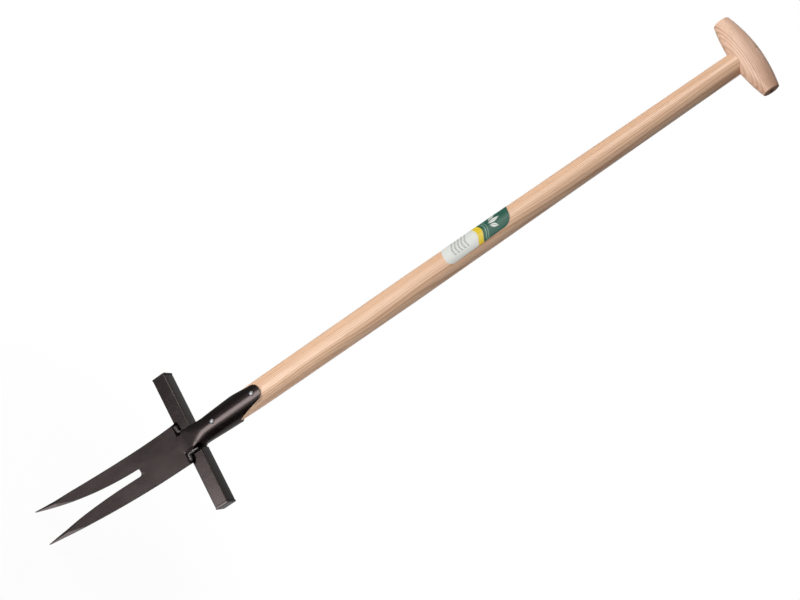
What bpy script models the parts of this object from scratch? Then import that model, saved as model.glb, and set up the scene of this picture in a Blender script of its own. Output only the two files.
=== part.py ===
"""Weeding fork: a two-tined steel head with welded foot treads, an ash shaft and a turned T-grip.

Metres, +Z up the shaft, the front of the fork towards -Y. The origin is where the shaft's axis
meets the underside of the T-grip, the place the tool hangs by. The head is modelled about its own
level, the centre line of the treads, and an empty carries it down the shaft.
"""

import math

import bmesh
import bpy
from mathutils import Vector

MM = 0.001
GAP = 0.3 * MM  # between faces that touch on the real tool

# Overall
TREAD_TO_GRIP = 857 * MM  # tread centre line up to the underside of the grip
TINE_REACH = 234 * MM  # tread centre line down to the tine tips

# Shaft
SHAFT_RADIUS = 18 * MM  # lower, untapered part
SHAFT_TOP_RADIUS = 13.9 * MM  # where it meets the grip
TAPER_START = 372 * MM  # above the treads
TOE_HEIGHT = 18 * MM  # the lower end, above the treads
SEAT_TOP = 150 * MM  # where the shaft starts to narrow into the socket
TOE_DROP = 3.8 * MM  # loss of radius at the toe
TOE_CHAMFER = 1.2 * MM

# Grip
GRIP_LENGTH = 104.4 * MM
GRIP_RADIUS = 17 * MM
GRIP_END_RADIUS = 10 * MM
GRIP_END_ROUND = 0.7 * MM
CENTRE_HOLE_RADIUS = 1.6 * MM
CENTRE_HOLE_DEPTH = 4 * MM
TENON_RADIUS = 10 * MM
WEDGE_WIDTH = 2.6 * MM
WEDGE_TOE = 0.9 * MM
WEDGE_DEPTH = GRIP_RADIUS

# Head: the blade
BLADE_SHEET = 4.0 * MM
SHOULDER_WIDTH = 61 * MM
SHOULDER_FLARE = 0.6 * MM  # extra half-width at the shoulders
FLARE_LENGTH = 28 * MM
TIP_SPREAD = 51.4 * MM  # over the outer edges of the two tips
TIP_WIDTH = 1.0 * MM
TIP_SHEET = 1.3 * MM
SHOULDER_DROP = 8 * MM  # top edge of the shoulders below the tread centre line
SLOT_END = 84.6 * MM  # closed end of the slot, below the tread centre line
SLOT_WIDTH = 11.2 * MM  # at its closed end
SLOT_CORNER = 4.2 * MM
BLADE_FRONT = 11.3 * MM  # front face ahead of the shaft's axis
CURVE_START = 35 * MM  # where the blade starts to bend forwards
CURVE_REACH = 48 * MM  # how far the tips stand ahead of the blade
EDGE_BREAK = 0.7 * MM
GRIND_START = 182 * MM  # where the ground facets of the tines begin
GRIND_SLOPE = 0.17  # widening of each facet towards the tip
GRIND_STEEP = 0.85
GRIND_EDGE = 0.9 * MM  # sheet left at the ground edge

# Head: the neck and socket
SOCKET_SHEET = 2.0 * MM
NECK_HALF = SHAFT_RADIUS - 1 * MM
NECK_FOOT = 5 * MM  # lower end of the neck's sides, below the tread centre line
NECK_SQUARE = 3.2  # exponent of the rounded-box section
NECK_TOP = 12 * MM  # where the section starts to turn round
SOCKET_ROUND = 34 * MM  # where it is fully round
TONGUE_TOP = 133 * MM
TONGUE_RADIUS = 12.5 * MM
SOCKET_SIDE = 78.5 * MM  # height of the socket's side and back edge
NECK_WRAP = math.radians(135)
SOCKET_WRAP = math.radians(171)
WRAP_CLOSED = 56 * MM

# Treads
TREAD_SIDE = 22 * MM
TREAD_WALL = 2 * MM
TREAD_CORNER = 2.2 * MM
TREAD_SPAN = 206.5 * MM  # over both end caps
CAP_FLANGE = 3.6 * MM
CAP_PROUD = 0.35 * MM
CAP_PLUG = 12 * MM
CAP_DOME = 0.9 * MM

# Welds
BEAD_TOE = 3.0 * MM  # reach of a front bead over the tread's face
BEAD_LAP = 4.0 * MM  # its reach over the shoulder
NECK_LAP = (math.radians(67), math.radians(54), math.radians(41))  # round the neck
BEAD_CROWN = 0.9 * MM  # its height above the shoulder
BEAD_TOP = 9.5 * MM  # upper end, above the tread centre line
BACK_BEAD_WIDTH = 4.2 * MM
BACK_BEAD_HEIGHT = 2.0 * MM

# Nails
NAIL_HEIGHTS = {"nail_upper": 120.7 * MM, "nail_lower": 49.4 * MM}
NAIL_HEAD_RADIUS = 3.5 * MM
NAIL_HEAD_HEIGHT = 2.1 * MM
NAIL_RADIUS = 1.7 * MM
NAIL_LENGTH = 32 * MM
NAIL_POINT = 5 * MM

# Label
LABEL_LOW = 440 * MM  # above the treads
LABEL_LENGTH = 100.5 * MM
LABEL_WIDTH = 43 * MM  # round the shaft
LABEL_TURN = math.radians(-36)  # its middle, seen from the front
LABEL_CORNER = 10 * MM
LABEL_SKIN = 0.25 * MM

GRIP_AXIS = TREAD_TO_GRIP + GRIP_RADIUS  # above the treads
GRIP_CLEAR = GRIP_RADIUS + 5 * MM  # from the grip's axis to clear of its surface
TREAD_FRONT = -BLADE_FRONT + BLADE_SHEET + GAP
TREAD_MIDDLE = TREAD_FRONT + TREAD_SIDE / 2
TREAD_INNER = NECK_HALF + GAP
TREAD_OUTER = TREAD_SPAN / 2 - CAP_FLANGE - GAP


def smooth(t):
    t = min(1.0, max(0.0, t))
    return t * t * (3 - 2 * t)


def mix(a, b, t):
    return a + (b - a) * t


def seat_radius(z):
    """Radius of the shaft at height z above the treads."""
    if z >= TAPER_START:
        return mix(SHAFT_RADIUS, SHAFT_TOP_RADIUS, (z - TAPER_START) / (TREAD_TO_GRIP - TAPER_START))
    if z >= SEAT_TOP:
        return SHAFT_RADIUS
    along = (SEAT_TOP - z) / (SEAT_TOP - TOE_HEIGHT)
    return SHAFT_RADIUS - TOE_DROP * min(along, 1.0) ** 2


def socket_radius(z):
    return seat_radius(z) + GAP + SOCKET_SHEET


# Head outline, by height above (+) or below (-) the treads


def blade_half_width(z):
    along = (-SHOULDER_DROP - z) / (TINE_REACH - SHOULDER_DROP)
    straight = SHOULDER_WIDTH / 2 - SHOULDER_FLARE
    narrowing = straight - TIP_SPREAD / 2
    flare = max(0.0, 1 - (-SHOULDER_DROP - z) / FLARE_LENGTH) ** 2
    return straight + SHOULDER_FLARE * flare - narrowing * (0.35 * along + 0.65 * along**3)


def slot_half_width(z):
    along = max(0.0, (-SLOT_END - z) / (TINE_REACH - SLOT_END))
    opening = TIP_SPREAD / 2 - TIP_WIDTH - SLOT_WIDTH / 2
    return SLOT_WIDTH / 2 + opening * along**2.3


def blade_front(z):
    """y of the blade's front face, away from the neck."""
    along = max(0.0, (-CURVE_START - z) / (TINE_REACH - CURVE_START))
    return -BLADE_FRONT - CURVE_REACH * along**1.85


def centre_front(z):
    """y of the front face on the centre line, from blade to socket."""
    if z >= TOE_HEIGHT - GAP:
        return -socket_radius(z)
    rise = smooth((z + CURVE_START) / (CURVE_START + TOE_HEIGHT - GAP))
    return mix(blade_front(z), -socket_radius(max(z, TOE_HEIGHT)), rise)


def front_at(x, z):
    """y of the blade's front face, with the swelling that runs up into the neck."""
    swelling = blade_front(z) - centre_front(z)
    return blade_front(z) - swelling * (1 - smooth(x / (NECK_HALF * 1.15)))


def sheet_at(z):
    """Thickness of the head's steel."""
    if z > -CURVE_START:
        rolling = smooth((z + SHOULDER_DROP) / (TOE_HEIGHT - GAP + SHOULDER_DROP))
        return mix(BLADE_SHEET, SOCKET_SHEET, rolling)
    grinding = smooth((-GRIND_START - z) / (TINE_REACH - GRIND_START))
    return mix(BLADE_SHEET, TIP_SHEET, grinding)


def wrap_at(z):
    return mix(NECK_WRAP, SOCKET_WRAP, smooth((z - NECK_TOP) / (WRAP_CLOSED - NECK_TOP)))


def tongue_height(angle):
    """Height of the socket's upper edge at an angle round from the front."""
    angle = abs(angle)
    shoulder = TONGUE_RADIUS / socket_radius(TONGUE_TOP)
    low = TONGUE_TOP - TONGUE_RADIUS
    if angle < shoulder:
        across = angle / shoulder
        return low + TONGUE_RADIUS * math.sqrt(1 - across**2)
    along = min(1.0, (angle - shoulder) / (math.radians(88) - shoulder))
    return SOCKET_SIDE + (low - SOCKET_SIDE) * (1 - along) ** 2


def section_point(angle, z):
    """A point on the outside of the neck or socket, by angle round from the front."""
    radius = socket_radius(max(z, TOE_HEIGHT))
    front = -centre_front(z)
    side = 1 if angle >= 0 else -1
    turn = abs(angle)
    if turn <= math.pi / 2:
        power = 2 / NECK_SQUARE
        box = Vector((NECK_HALF * math.sin(turn) ** power, -front * max(0.0, math.cos(turn)) ** power))
    else:
        box = Vector((NECK_HALF, NECK_HALF * (turn - math.pi / 2)))
    ring = Vector((radius * math.sin(turn), -radius * math.cos(turn)))
    here = box.lerp(ring, smooth((z - NECK_TOP) / (SOCKET_ROUND - NECK_TOP)))
    return Vector((side * here.x, here.y, z))


# Mesh helpers


def new_object(name, mesh_data, material, parent=None, location=(0, 0, 0), rotation=(0, 0, 0)):
    obj = bpy.data.objects.new(name, mesh_data)
    bpy.context.scene.collection.objects.link(obj)
    if material:
        mesh_data.materials.append(material)
    obj.parent = parent
    obj.location = location
    obj.rotation_euler = rotation
    return obj


def finish_mesh(name, bm, smooth_angle=35):
    bmesh.ops.recalc_face_normals(bm, faces=bm.faces)
    mesh_data = bpy.data.meshes.new(name)
    bm.to_mesh(mesh_data)
    bm.free()
    mesh_data.shade_smooth()
    mesh_data.set_sharp_from_angle(angle=math.radians(smooth_angle))
    return mesh_data


def loft(name, rings, smooth_angle=35, cap=None):
    """A closed solid through rings of as many points each.

    Each end is one face, or the faces that cap lists as point numbers, for a hollow-sided section.
    """
    bm = bmesh.new()
    loops = [[bm.verts.new(p) for p in ring] for ring in rings]
    count = len(rings[0])
    cap = cap or [tuple(range(count))]
    for low, high in zip(loops, loops[1:]):
        for i in range(count):
            j = (i + 1) % count
            bm.faces.new((low[i], low[j], high[j], high[i]))
    for numbers in cap:
        bm.faces.new([loops[0][i] for i in reversed(numbers)])
        bm.faces.new([loops[-1][i] for i in numbers])
    return finish_mesh(name, bm, smooth_angle)


def circle(radius, z, count):
    steps = [2 * math.pi * i / count for i in range(count)]
    return [Vector((radius * math.cos(a), radius * math.sin(a), z)) for a in steps]


def turned(name, profile, count, smooth_angle=35):
    """A solid turned about Z, from (radius, height) points going up."""
    return loft(name, [circle(r, z, count) for r, z in profile], smooth_angle)


def rounded_square(half, corner, steps=4):
    """Points of a square with round corners, centred on the origin."""
    points = []
    for quarter in range(4):
        middle = math.radians(45 + 90 * quarter)
        centre = Vector((math.cos(middle), math.sin(middle))) * (half - corner) * math.sqrt(2)
        for i in range(steps + 1):
            a = middle + math.radians(-45 + 90 * i / steps)
            points.append(centre + Vector((math.cos(a), math.sin(a))) * corner)
    return points


def thicken(name, rows, cells, drop, sheet, smooth_angle=30):
    """A closed sheet from a net of points: rows holds the points by key, cells the four keys of each face.

    The net is the front face; drop sets its edges back and sheet is the thickness, by key.
    """
    bm = bmesh.new()
    front = {key: bm.verts.new(point) for key, point in rows.items()}
    for cell in cells:
        bm.faces.new([front[key] for key in cell])
    bm.normal_update()
    inward = {key: vert.normal.copy() for key, vert in front.items()}
    back = {key: bm.verts.new(rows[key] + inward[key] * sheet[key]) for key in rows}
    for key, vert in front.items():
        vert.co = rows[key] + inward[key] * drop.get(key, 0.0)
    edges = {}
    for cell in cells:
        for a, b in zip(cell, cell[1:] + cell[:1]):
            edges[(a, b)] = True
    for cell in cells:
        bm.faces.new([back[key] for key in reversed(cell)])
    for a, b in edges:
        if (b, a) not in edges:
            bm.faces.new((front[b], front[a], back[a], back[b]))
    return finish_mesh(name, bm, smooth_angle)


def boolean(target, other, operation):
    modifier = target.modifiers.new(f"{operation.lower()}_{other.name}", "BOOLEAN")
    modifier.operation = operation
    modifier.solver = "EXACT"
    modifier.object = other


def helper(obj):
    obj.hide_render = True
    obj.display_type = "WIRE"
    return obj


# Head


STRIP_ANGLES = [math.radians(a) for a in (0, 9.5, 19, 31, 43, 55)]
SLOT_COLUMN = 2  # the strip column that runs along the slot's edge
WING_COLUMNS = 2  # between the strip and the blade's ground edge
SIDE_STEPS = 9  # of each neck side and socket half


def spread(low, high, count):
    """count values from low, left out, up or down to high."""
    return [mix(low, high, i / count) for i in range(1, count + 1)]


def blade_levels():
    """Depths of the blade's rows below the treads, from the tips up."""
    slot_corner = [SLOT_END + SLOT_CORNER * (1 - math.sin(math.radians(a))) for a in (0, 20, 42, 66, 90)]
    depths = [TINE_REACH, TINE_REACH - 6 * MM]
    depths += spread(depths[-1], GRIND_START, 6)
    depths += spread(GRIND_START, slot_corner[0] + 5 * MM, 5) + slot_corner
    depths += spread(SLOT_END, CURVE_START, 4)
    return depths + spread(CURVE_START, SHOULDER_DROP, 4)


def blade_row(z):
    """Front points of half the blade at height z, from the centre line outwards, and their set-backs."""
    outer = blade_half_width(z)
    slotted = z < -SLOT_END + 1e-6
    inner = slot_half_width(z)
    corner = -SLOT_END - z
    if slotted and corner < SLOT_CORNER:
        inner -= SLOT_CORNER * (1 - math.sqrt(max(0.0, 1 - (1 - corner / SLOT_CORNER) ** 2)))
    middle = (outer - inner) / 2
    facet = max(EDGE_BREAK, GRIND_SLOPE * (-GRIND_START - z))
    facet = min(facet, middle * 0.96)
    last = len(STRIP_ANGLES) - 1
    neck_like = smooth((z + CURVE_START) / (CURVE_START - SHOULDER_DROP))
    power = 2 / NECK_SQUARE
    x_neck = [NECK_HALF * math.sin(a) ** power for a in STRIP_ANGLES]
    flat = [inner * i / SLOT_COLUMN for i in range(SLOT_COLUMN + 1)]
    steps = last - SLOT_COLUMN + WING_COLUMNS
    inside = inner + facet if slotted else mix(inner, outer, 1 / (steps + 1))
    flat += [mix(inside, outer - facet, i / (steps - 1)) for i in range(steps)]
    xs = [mix(x, x_neck[i], neck_like) for i, x in enumerate(flat[: last + 1])]
    if neck_like > 0:
        xs += spread(xs[last], outer - facet, WING_COLUMNS)
    else:
        xs += flat[last + 1 :]
    xs.append(outer)
    depth = min(facet * GRIND_STEEP, sheet_at(z) - GRIND_EDGE)
    set_back = [0.0] * (len(xs) - 1) + [depth]
    if slotted:
        set_back[SLOT_COLUMN] = depth
    return [Vector((x, front_at(x, z), z)) for x in xs], set_back


def head_net():
    """The front face of the head as points by (half, column, row), its faces, set-backs and thicknesses."""
    blade = [-depth for depth in blade_levels()]
    neck = [-NECK_FOOT] + spread(-NECK_FOOT, NECK_TOP, 3) + spread(NECK_TOP, SOCKET_ROUND, 4)
    socket = 9
    last = len(STRIP_ANGLES) - 1
    points, cells, drop, sheet = {}, [], {}, {}

    def put(half, column, row, point, set_back=0.0):
        if column == 0:
            half = 1
        if (half, column, row) in points:
            return
        points[(half, column, row)] = Vector((half * point.x, point.y, point.z))
        drop[(half, column, row)] = set_back
        sheet[(half, column, row)] = sheet_at(point.z)

    for row, z in enumerate(blade):
        line, set_back = blade_row(z)
        for column, point in enumerate(line):
            if z < -SLOT_END and column < SLOT_COLUMN:
                continue
            for half in (1, -1):
                put(half, column, row, point, set_back[column])
    first_side = len(blade)
    angles = list(STRIP_ANGLES)
    for i in range(len(neck) + socket):
        row = first_side + i
        z = neck[i] if i < len(neck) else None
        low = neck[-1]
        up = (i - len(neck) + 1) / socket
        at = z if z is not None else mix(low, SOCKET_SIDE, up)
        ring = angles + spread(angles[-1], wrap_at(at), SIDE_STEPS)
        for column, angle in enumerate(ring):
            height = z if z is not None else mix(low, tongue_height(angle), smooth(up) * 0.35 + up * 0.65)
            point = section_point(angle, height)
            for half in (1, -1):
                key = column if column <= last else column + 100
                put(half, key, row, point)
    rows = first_side + len(neck) + socket

    def cell(half, a, b, row):
        def key(column, r):
            return (1 if column == 0 else half, column, r)

        quad = [key(a, row), key(b, row), key(b, row + 1), key(a, row + 1)]
        if any(k not in points for k in quad):
            return
        cells.append(quad if half < 0 else quad[::-1])

    columns = list(range(last + 1))
    wings = [last] + list(range(last + 1, last + 1 + WING_COLUMNS + 1))
    sides = [last] + [last + i + 100 for i in range(1, SIDE_STEPS + 1)]
    for half in (1, -1):
        for row in range(rows - 1):
            for a, b in zip(columns, columns[1:]):
                cell(half, a, b, row)
            for a, b in zip(wings, wings[1:]):
                if row + 1 < first_side:
                    cell(half, a, b, row)
            for a, b in zip(sides, sides[1:]):
                if row >= first_side:
                    cell(half, a, b, row)
    return points, cells, drop, sheet


def nail_bore(name, parent, height, radius):
    """A cutter from ahead of the head to the nail's end."""
    length = NAIL_LENGTH + GAP + 10 * MM
    data = turned(name, [(radius, 0.0), (radius, length)], 16)
    front = socket_radius(height) + 10 * MM
    turn = (math.radians(-90), 0, 0)
    return helper(new_object(name, data, None, parent, (0, -front, height), turn))


def make_head(steel, parent):
    points, cells, drop, sheet = head_net()
    head = new_object("fork_head", thicken("fork_head", points, cells, drop, sheet), steel, parent)
    for name, height in NAIL_HEIGHTS.items():
        boolean(head, nail_bore(f"{name}_sheet_hole", parent, height, NAIL_RADIUS + GAP), "DIFFERENCE")


# Treads, caps and welds


def tube_ring(half, corner, x):
    return [Vector((x, TREAD_MIDDLE + p.x, p.y)) for p in rounded_square(half, corner)]


def make_tread(side, name, steel, parent):
    """A square tube from the neck outwards, open at both ends."""
    bm = bmesh.new()
    outer_half = TREAD_SIDE / 2
    inner_corner = max(TREAD_CORNER - TREAD_WALL, 0.4 * MM)
    rings = []
    for x in (TREAD_INNER, TREAD_OUTER):
        outer = [bm.verts.new(p) for p in tube_ring(outer_half, TREAD_CORNER, side * x)]
        inner = [bm.verts.new(p) for p in tube_ring(outer_half - TREAD_WALL, inner_corner, side * x)]
        rings.append((outer, inner))
    count = len(rings[0][0])
    (outer_a, inner_a), (outer_b, inner_b) = rings
    for i in range(count):
        j = (i + 1) % count
        bm.faces.new((outer_a[i], outer_a[j], outer_b[j], outer_b[i]))
        bm.faces.new((inner_a[j], inner_a[i], inner_b[i], inner_b[j]))
        bm.faces.new((outer_a[j], outer_a[i], inner_a[i], inner_a[j]))
        bm.faces.new((outer_b[i], outer_b[j], inner_b[j], inner_b[i]))
    new_object(name, finish_mesh(name, bm), steel, parent)


def make_cap(side, name, material, parent):
    """An end cap: a flange over the tube's end and a plug inside it."""
    plug = TREAD_SIDE / 2 - TREAD_WALL - GAP
    flange = TREAD_SIDE / 2 + CAP_PROUD
    start = TREAD_OUTER + GAP
    end = TREAD_SPAN / 2
    plan = [
        (start - CAP_PLUG, plug - 1.2 * MM, 0.6 * MM),
        (start - CAP_PLUG + 2 * MM, plug, 0.6 * MM),
        (start, plug, 0.6 * MM),
        (start, flange - 0.4 * MM, TREAD_CORNER),
        (start + 0.5 * MM, flange, TREAD_CORNER + 0.3 * MM),
        (end - CAP_DOME, flange, TREAD_CORNER + 0.3 * MM),
        (end - 0.25 * CAP_DOME, flange - 0.7 * CAP_DOME, TREAD_CORNER),
        (end, flange - 3.2 * MM, TREAD_CORNER * 0.6),
    ]
    rings = [tube_ring(half, corner, side * x) for x, half, corner in plan]
    new_object(name, loft(name, rings, 25), material, parent)


BEAD_ENDS = [(0, 8, 9), (0, 1, 7, 8), (1, 6, 7), (1, 2, 5, 6), (2, 3, 4, 5)]  # faces over one section


def bead_ring(toe, foot, laps, size):
    """A section of a front bead: flat on the tread, stepped over the steel it joins, and domed."""
    far = laps[-1]
    points = [foot] + laps
    for k in range(1, 6):
        a = math.pi * k / 6
        flat = far.lerp(toe, (1 - math.cos(a)) / 2)
        rise = (BEAD_CROWN * size + (toe.y - far.y) / 2) * math.sin(a)
        points.append(flat + Vector((0, -rise, 0)))
    return points + [toe]


def shoulder_ring(x, size):
    """The front bead's section where it runs along the top edge of the shoulder."""
    edge = -SHOULDER_DROP + GAP
    tread = TREAD_FRONT - GAP
    toe = Vector((x, tread, edge + BEAD_TOE * size))
    laps = []
    for reach in (0.0, 0.5, 1.0):
        z = edge - (BEAD_LAP + GAP) * reach * size
        laps.append(Vector((x, front_at(x, min(z, -SHOULDER_DROP)) - GAP, z)))
    return bead_ring(toe, Vector((x, tread, edge)), laps, size)


def corner_ring(size):
    """The front bead's section in the inside corner, between shoulder and neck."""
    edge = -SHOULDER_DROP + GAP
    near = NECK_HALF + GAP
    tread = TREAD_FRONT - GAP
    slant = math.sqrt(0.5)
    toe = Vector((near + BEAD_TOE * slant, tread, edge + BEAD_TOE * slant))
    laps = []
    for reach in (0.0, 0.5, 1.0):
        x = near - BEAD_LAP * reach * slant
        z = edge - BEAD_LAP * reach * slant
        laps.append(Vector((x, front_at(x, min(z, -SHOULDER_DROP)) - 3 * GAP, z)))
    return bead_ring(toe, Vector((near, tread, edge)), laps, size)


def neck_ring(z, size):
    """The front bead's section where it runs up the rounded side of the neck."""
    near = NECK_HALF + GAP
    tread = TREAD_FRONT - GAP
    toe = Vector((near + BEAD_TOE * 0.7 * size, tread, z))
    laps = []
    for angle in NECK_LAP:
        on_neck = section_point(angle, z)
        laps.append(on_neck + Vector((on_neck.x, on_neck.y, 0)).normalized() * 2 * GAP)
    return bead_ring(toe, Vector((near, tread, z)), laps, size)


def make_front_bead(side, name, steel, parent):
    """Along the shoulder's top edge, round the inside corner and up the side of the neck."""
    far = SHOULDER_WIDTH / 2 - 1 * MM
    near = NECK_HALF + GAP + BEAD_TOE
    foot = -NECK_FOOT + GAP
    rings = [shoulder_ring(far, 0.55)]
    for i, x in enumerate(spread(far, near, 7)):
        rings.append(shoulder_ring(x, 1 + 0.06 * math.sin(i * 2.1)))
    rings.append(corner_ring(1.0))
    for i, z in enumerate([foot] + spread(foot, BEAD_TOP, 6)):
        rings.append(neck_ring(z, 0.95 + 0.06 * math.sin(i * 2.4)))
    rings.append(neck_ring(BEAD_TOP + 0.8 * MM, 0.5))
    placed = [[Vector((side * p.x, p.y, p.z)) for p in ring] for ring in rings]
    new_object(name, loft(name, placed, 50, BEAD_ENDS), steel, parent)


def make_back_bead(side, name, steel, parent):
    """Up the back corner between the neck's side and the tube's back face."""
    back = TREAD_FRONT + TREAD_SIDE + GAP
    middle = NECK_HALF + GAP + BACK_BEAD_WIDTH / 2
    end = TREAD_SIDE / 2 - 1.5 * MM
    heights = [-end] + spread(-end, end, 9)
    rings = []
    for i, z in enumerate(heights):
        size = 0.6 if z in (heights[0], heights[-1]) else 1 + 0.06 * math.sin(i * 2.1)
        ring = []
        for k in range(9):
            a = math.pi * k / 8
            x = middle + BACK_BEAD_WIDTH / 2 * math.cos(a) * min(size, 1.0)
            ring.append(Vector((side * x, back + BACK_BEAD_HEIGHT * math.sin(a) * size, z)))
        rings.append(ring)
    new_object(name, loft(name, rings, 50), steel, parent)


# Nails


def make_nail(name, height, zinc, parent):
    """A domed head with a pointed shank, driven from the front."""
    profile = [(0.2 * MM, 0.0)]
    for i in range(1, 5):
        a = math.radians(90 * i / 5)
        profile.append((NAIL_HEAD_RADIUS * math.sin(a), NAIL_HEAD_HEIGHT * (1 - math.cos(a))))
    rim = NAIL_HEAD_HEIGHT
    profile += [(NAIL_HEAD_RADIUS, rim), (NAIL_RADIUS, rim)]
    profile += [(NAIL_RADIUS, rim + NAIL_LENGTH - NAIL_POINT), (0.3 * MM, rim + NAIL_LENGTH)]
    front = socket_radius(height) + GAP + NAIL_HEAD_HEIGHT
    turn = (math.radians(-90), 0, 0)
    new_object(name, turned(name, profile, 20), zinc, parent, (0, -front, height), turn)


# Shaft, grip and wedge


def grip_radius(x, extra=0.0):
    along = abs(x) / (GRIP_LENGTH / 2)
    return extra + GRIP_END_RADIUS + (GRIP_RADIUS - GRIP_END_RADIUS) * (1 - along**2)


def grip_profile(extra, holes):
    """(radius, height) points of the turned grip about its own axis."""
    half = GRIP_LENGTH / 2 + extra
    body = [mix(-half + GRIP_END_ROUND, half - GRIP_END_ROUND, i / 20) for i in range(21)]
    side = [(grip_radius(x, extra), x) for x in body]
    end = []
    for a in (math.radians(50), 0.0):
        inset = GRIP_END_ROUND * (1 - math.sin(a))
        end.append((grip_radius(half, extra) - inset, half - GRIP_END_ROUND * (1 - math.cos(a))))
    if holes:
        end += [(CENTRE_HOLE_RADIUS, half), (0.3 * MM, half - CENTRE_HOLE_DEPTH)]
    return [(r, -x) for r, x in reversed(end)] + side + end


def make_grip_cutter(name, extra, parent):
    data = turned(name, grip_profile(extra, False), 48)
    return helper(new_object(name, data, None, parent, rotation=(0, math.radians(90), 0)))


def make_grip(ash, parent):
    data = turned("grip", grip_profile(0.0, True), 48)
    grip = new_object("grip", data, ash, parent, rotation=(0, math.radians(90), 0))
    bore = turned("mortise", [(TENON_RADIUS + GAP, -GRIP_CLEAR), (TENON_RADIUS + GAP, GRIP_CLEAR)], 40)
    boolean(grip, helper(new_object("mortise", bore, None, parent)), "DIFFERENCE")


def make_shaft(ash, head, grip):
    """Turned from toe to grip, coped to the grip's underside, with a tenon through the grip."""
    chamfered = TOE_HEIGHT + TOE_CHAMFER
    heights = [chamfered] + spread(chamfered, SEAT_TOP, 8)
    heights += [mix(SEAT_TOP, TAPER_START, 0.5), TAPER_START]
    heights += spread(TAPER_START, TREAD_TO_GRIP, 2) + [GRIP_AXIS]
    profile = [(seat_radius(TOE_HEIGHT) - TOE_CHAMFER, TOE_HEIGHT)]
    profile += [(seat_radius(z), z) for z in heights]
    shaft = new_object("shaft", turned("shaft", profile, 48), ash, head)
    boolean(shaft, make_grip_cutter("grip_cope", GAP, grip), "DIFFERENCE")
    rod = turned("tenon", [(TENON_RADIUS, -GRIP_RADIUS / 2), (TENON_RADIUS, GRIP_CLEAR)], 40)
    tenon = helper(new_object("tenon", rod, None, grip))
    boolean(tenon, make_grip_cutter("grip_flush", 0.0, grip), "INTERSECT")
    stub = turned("tenon_root", [(TENON_RADIUS, -GRIP_CLEAR), (TENON_RADIUS, 0.0)], 40)
    boolean(shaft, tenon, "UNION")
    boolean(shaft, helper(new_object("tenon_root", stub, None, grip)), "UNION")
    for name, height in NAIL_HEIGHTS.items():
        boolean(shaft, nail_bore(f"{name}_shaft_hole", head, height, NAIL_RADIUS + GAP), "DIFFERENCE")
    kerf = wedge_mesh("wedge_kerf", GAP, GRIP_CLEAR)
    boolean(shaft, helper(new_object("wedge_kerf", kerf, None, grip)), "DIFFERENCE")


def wedge_mesh(name, clearance, top):
    """A taper, thin along the grip and as wide as the tenon, from the tenon's top downwards."""
    low = GRIP_RADIUS - WEDGE_DEPTH
    grow = (WEDGE_WIDTH - WEDGE_TOE) / WEDGE_DEPTH
    wide = TENON_RADIUS + (5 * MM if clearance else -2 * GAP)
    rings = []
    for z, thick in ((low - clearance, WEDGE_TOE), (top, WEDGE_TOE + grow * (top - low))):
        half = thick / 2 + clearance
        corners = ((-half, -wide), (half, -wide), (half, wide), (-half, wide))
        rings.append([Vector((x, y, z)) for x, y in corners])
    return loft(name, rings)


def make_wedge(oak, parent):
    wedge = new_object("grip_wedge", wedge_mesh("grip_wedge", 0.0, GRIP_CLEAR), oak, parent)
    limit = TENON_RADIUS - GAP
    bore = turned("wedge_round", [(limit, -GRIP_RADIUS), (limit, 2 * GRIP_RADIUS)], 40)
    boolean(wedge, helper(new_object("wedge_round", bore, None, parent)), "INTERSECT")
    boolean(wedge, make_grip_cutter("wedge_flush", 0.0, parent), "INTERSECT")


# Label


def make_label(paper, parent):
    """A thin skin round the shaft, with round corners."""
    columns, rows = 18, 12
    points, cells, sheet = {}, [], {}
    for i in range(columns + 1):
        across = mix(-LABEL_WIDTH / 2, LABEL_WIDTH / 2, (1 - math.cos(math.pi * i / columns)) / 2)
        from_edge = LABEL_WIDTH / 2 - abs(across)
        inset = 0.0
        if from_edge < LABEL_CORNER:
            inset = LABEL_CORNER - math.sqrt(LABEL_CORNER**2 - (LABEL_CORNER - from_edge) ** 2)
        for j in range(rows + 1):
            z = mix(LABEL_LOW + inset, LABEL_LOW + LABEL_LENGTH - inset, j / rows)
            radius = seat_radius(z) + GAP
            angle = LABEL_TURN + across / SHAFT_RADIUS
            points[(i, j)] = Vector((radius * math.sin(angle), -radius * math.cos(angle), z))
            sheet[(i, j)] = LABEL_SKIN
    for i in range(columns):
        for j in range(rows):
            cells.append([(i, j), (i + 1, j), (i + 1, j + 1), (i, j + 1)])
    new_object("label", thicken("label", points, cells, {}, sheet), paper, parent)


# Materials


def material(name, colour, roughness, metallic=0.0):
    made = bpy.data.materials.new(name)
    made.use_nodes = True
    shader = made.node_tree.nodes["Principled BSDF"]
    shader.inputs["Base Color"].default_value = (*colour, 1)
    shader.inputs["Roughness"].default_value = roughness
    shader.inputs["Metallic"].default_value = metallic
    return made


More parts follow.
